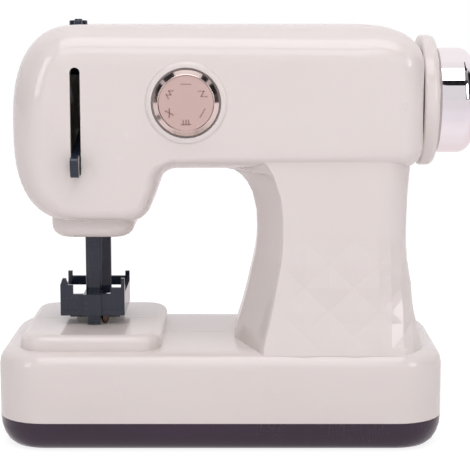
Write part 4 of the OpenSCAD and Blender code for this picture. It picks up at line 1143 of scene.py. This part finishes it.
@dataclass
class TakeUpLever:
    """The slate lever whose finger slides in the head's slot."""

    edge: float = 0.25
    edge_steps: int = 3

    def build(self) -> None:
        """Close, soften and dress the lever."""
        lever = Workpiece.from_node("thread_lever", "take_up_lever")
        lever.flatten_facets()
        lever.soften(self.edge, self.edge_steps)
        lever.smooth()
        lever.dress(SLATE, "lever", "take_up_lever")


@dataclass
class InnerWorks:
    """The drive, the cells and the fasteners inside, which keep their CAD shapes."""

    finishes: dict[str, Finish] = field(default_factory=lambda: {
        "battery_cells": CELL, "motor_can": MOTOR, "motor_cap": SLATE, "switch_body": SLATE,
        "motor_pinion": COPPER, "battery_contacts": STEEL, "shell_screws": STEEL, "tray_screws": STEEL,
        "main_shaft": STEEL, "gear_pin": STEEL, "dial_retainer": STEEL,
        "guide_rod": STEEL, "lever_pin": STEEL, "shaft_bushes": NYLON, "crank_disc": NYLON,
        "shaft_gear": NYLON, "compound_gear": NYLON, "gear_bracket": NYLON, "needle_carriage": NYLON,
        "bar_guide": NYLON})

    def build(self) -> None:
        """Dress each inner node."""
        for node, finish in self.finishes.items():
            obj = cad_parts[node]
            obj.data.materials.clear()
            obj.data.materials.append(finish.material())
            log.info("%s: CAD node in %s", node, finish.name)


# Studio


# Middles of the knob and of the dial, in metres
KNOB: Point = (0.08, 0.0, 0.126)
DIAL: Point = (-0.0187, -0.0335, 0.127)


def turned_to(centre: Point, aim: Point) -> Euler:
    """Turn of a lamp or a card that hangs at a centre and faces an aim."""
    return (Vector(aim) - Vector(centre)).to_track_quat("-Z", "Y").to_euler()


@dataclass
class Softbox:
    """A rectangular lamp that the camera doesn't see."""

    name: str
    centre: Point
    size: tuple[float, float]
    level: float
    aim: Point = (0.0, -0.03, 0.12)
    tone: Colour = (0.99, 0.985, 1.02)

    def build(self) -> None:
        """Hang the lamp at its place, with the power that gives its face that level."""
        data = bpy.data.lights.new(self.name, "AREA")
        data.shape = "RECTANGLE"
        data.size, data.size_y = self.size
        data.energy = self.level * math.pi * self.size[0] * self.size[1]
        data.color = self.tone
        lamp = bpy.data.objects.new(self.name, data)
        lamp.location = self.centre
        lamp.rotation_euler = turned_to(self.centre, self.aim)
        lamp.visible_camera = False
        bpy.context.scene.collection.objects.link(lamp)


@dataclass
class BlackCard:
    """A black card that only mirrors show, as a dark patch in plated pieces."""

    name: str
    centre: Point
    size: tuple[float, float]
    aim: Point
    tone: Colour = (0.015, 0.015, 0.017)
    roughness: float = 0.9

    def build(self) -> None:
        """Hang the card at its place, facing its aim."""
        deselect_all()
        bpy.ops.mesh.primitive_plane_add(size=1.0)
        card = bpy.context.active_object
        card.name = self.name
        card.scale = (*self.size, 1)
        card.location = self.centre
        card.rotation_euler = turned_to(self.centre, self.aim)
        card.visible_camera = False
        card.visible_diffuse = False
        card.visible_shadow = False
        sheet = MaterialSheet(self.name)
        sheet.shade("Base Color", self.tone)
        sheet.shade("Roughness", self.roughness)
        sheet.shade("Specular IOR Level", 0.0)
        card.data.materials.append(sheet.material)


@dataclass
class Studio:
    """Camera, lamps, black cards, white surround and pale floor. Lengths are in metres."""

    eye: Point = (-0.00085, -0.56967, 0.15956)
    pitch: float = 81.5
    lens: float = 114.9
    sensor: float = 36.0
    shift: float = -0.0016
    clip_start: float = 0.01
    floor_size: float = 6.0
    floor_z: float = -0.0002
    floor_colour: Colour = (0.92, 0.91, 0.91)
    floor_roughness: float = 0.9
    floor_specular: float = 0.1
    floor_glow: float = 0.85
    floor_tone: float = 0.24
    mirror_from: float = -0.6
    mirror_to: float = 0.1
    mirrored_floor: tuple[tuple[float, Colour], ...] = (
        (-0.60, (0.785, 0.759, 0.787)),
        (-0.20, (0.842, 0.800, 0.843)),
        (-0.06, (0.915, 0.867, 0.900)),
        (0.06, (0.851, 0.768, 0.779)),
    )
    bright_way: Point = (0.0, 0.7071, 0.7071)
    dim_until: float = 0.1
    bright_from: float = 0.7
    front_level: float = 0.05
    back_level: float = 0.97
    surround_tone: Colour = (0.98, 1.0, 1.09)
    mirrored_surround: Colour = (0.985, 0.95, 0.963)
    lamps: tuple[Softbox, ...] = (
        Softbox("top_softbox", (0.0, -0.33, 0.80), (0.70, 0.40), 2.7),
        Softbox("front_softbox", (0.0, -0.617, 0.593), (0.70, 0.224), 2.35),
        Softbox("front_fill", (0.0, -1.2, 0.44), (1.4, 0.72), 0.71, (0.0, 0.0, 0.44)),
        Softbox("left_softbox", (-0.62, -0.56, 0.36), (0.24, 0.44), 3.0),
        Softbox("right_softbox", (0.62, -0.56, 0.36), (0.24, 0.44), 3.9),
    )
    cards: tuple[BlackCard, ...] = (
        BlackCard("knob_card", (0.24, -0.48, 0.512), (0.20, 0.21), KNOB),
        BlackCard("dial_card_high_left", (-0.316, -0.06, 0.529), (0.14, 0.203), DIAL),
        BlackCard("dial_card_low_left", (-0.482, -0.06, 0.314), (0.14, 0.213), DIAL),
        BlackCard("dial_card_high_right", (0.289, -0.06, 0.521), (0.14, 0.123), DIAL),
        BlackCard("dial_card_low_right", (0.434, -0.06, 0.338), (0.14, 0.194), DIAL),
    )

    def _camera(self) -> None:
        """Stand the camera where the photograph was taken from."""
        data = bpy.data.cameras.new("studio_camera")
        data.lens = self.lens
        data.sensor_width = self.sensor
        data.shift_x = self.shift
        data.clip_start = self.clip_start
        camera = bpy.data.objects.new("studio_camera", data)
        camera.location = self.eye
        camera.rotation_euler = (math.radians(self.pitch), 0, 0)
        bpy.context.scene.collection.objects.link(camera)
        bpy.context.scene.camera = camera

    def _surround(self) -> None:
        """Light the surround: white to the camera, bright above and behind, dim in front and below."""
        world = bpy.data.worlds.new("white_surround")
        bpy.context.scene.world = world
        world.use_nodes = True
        sheet = NodeSheet(world.node_tree)
        glow = sheet.tree.nodes["Background"].inputs
        ray = sheet.add("ShaderNodeLightPath").outputs
        tone = sheet.mix(Mix.COLOURS, ray["Is Glossy Ray"], self.surround_tone, self.mirrored_surround)
        sheet.feed(glow["Color"], sheet.mix(Mix.COLOURS, ray["Is Camera Ray"], tone, WHITE))
        way = sheet.add("ShaderNodeVectorMath")
        way.operation = "DOT_PRODUCT"
        sheet.feed(way.inputs[0], sheet.add("ShaderNodeTexCoord").outputs["Generated"])
        sheet.feed(way.inputs[1], self.bright_way)
        level = sheet.span(way.outputs["Value"], self.dim_until, self.bright_from, self.front_level,
                           self.back_level)
        sheet.feed(glow["Strength"], sheet.mix(Mix.NUMBERS, ray["Is Camera Ray"], level, 1.0))

    def _seen_floor(self, sheet: MaterialSheet) -> Socket:
        """Shader of the floor for the camera: a glow, and a matt skin that keeps the shadow.

        Args:
            sheet: The floor's material.

        Returns:
            The shader.
        """
        skin = sheet.add("ShaderNodeBsdfDiffuse")
        sheet.feed(skin.inputs["Color"], (self.floor_tone,) * 3)
        glow = sheet.add("ShaderNodeEmission")
        sheet.feed(glow.inputs["Strength"], self.floor_glow)
        both = sheet.add("ShaderNodeAddShader")
        sheet.feed(both.inputs[0], skin.outputs[0])
        sheet.feed(both.inputs[1], glow.outputs[0])
        return both.outputs[0]

    def _floor_in_mirrors(self, sheet: MaterialSheet) -> Socket:
        """Shader of the floor for glossy pieces, with a tone that changes from front to back.

        Args:
            sheet: The floor's material.

        Returns:
            The shader.
        """
        place = sheet.add("ShaderNodeSeparateXYZ")
        sheet.feed(place.inputs[0], sheet.add("ShaderNodeNewGeometry").outputs["Position"])
        ramp = sheet.add("ShaderNodeValToRGB")
        stops = ramp.color_ramp.elements
        while len(stops) < len(self.mirrored_floor):
            stops.new(1.0)
        for stop, (y, tone) in zip(stops, self.mirrored_floor):
            stop.position = (y - self.mirror_from) / (self.mirror_to - self.mirror_from)
            stop.color = (*tone, 1)
        sheet.feed(ramp.inputs["Fac"], sheet.span(place.outputs["Y"], self.mirror_from, self.mirror_to))
        glow = sheet.add("ShaderNodeEmission")
        sheet.feed(glow.inputs["Color"], ramp.outputs["Color"])
        return glow.outputs[0]

    def _floor(self) -> None:
        """Lay the pale floor, which keeps the machine's soft shadow."""
        deselect_all()
        bpy.ops.mesh.primitive_plane_add(size=self.floor_size, location=(0, 0, self.floor_z))
        floor = bpy.context.active_object
        floor.name = "pale_floor"
        sheet = MaterialSheet("pale_floor")
        sheet.shade("Base Color", self.floor_colour)
        sheet.shade("Roughness", self.floor_roughness)
        sheet.shade("Specular IOR Level", self.floor_specular)
        ray = sheet.add("ShaderNodeLightPath").outputs
        plain = sheet.switch(ray["Is Glossy Ray"], sheet.shader.outputs[0], self._floor_in_mirrors(sheet))
        seen = sheet.switch(ray["Is Camera Ray"], plain, self._seen_floor(sheet))
        sheet.feed(sheet.tree.nodes["Material Output"].inputs["Surface"], seen)
        floor.data.materials.append(sheet.material)

    def build(self) -> None:
        """Set up the studio."""
        bpy.context.scene.view_settings.view_transform = "Standard"
        self._camera()
        self._surround()
        self._floor()
        for item in (*self.cards, *self.lamps):
            item.build()


def main() -> None:
    """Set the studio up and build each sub-assembly."""
    logging.basicConfig(level=logging.INFO, format="%(message)s")
    for part in (Studio(), BodyShells(), HandWheel(), StitchDial(), PushButton(), NeedleFoot(),
                 TakeUpLever(), InnerWorks()):
        part.build()
        log.info("%s is done", type(part).__name__)


if __name__ == "__main__":
    main()
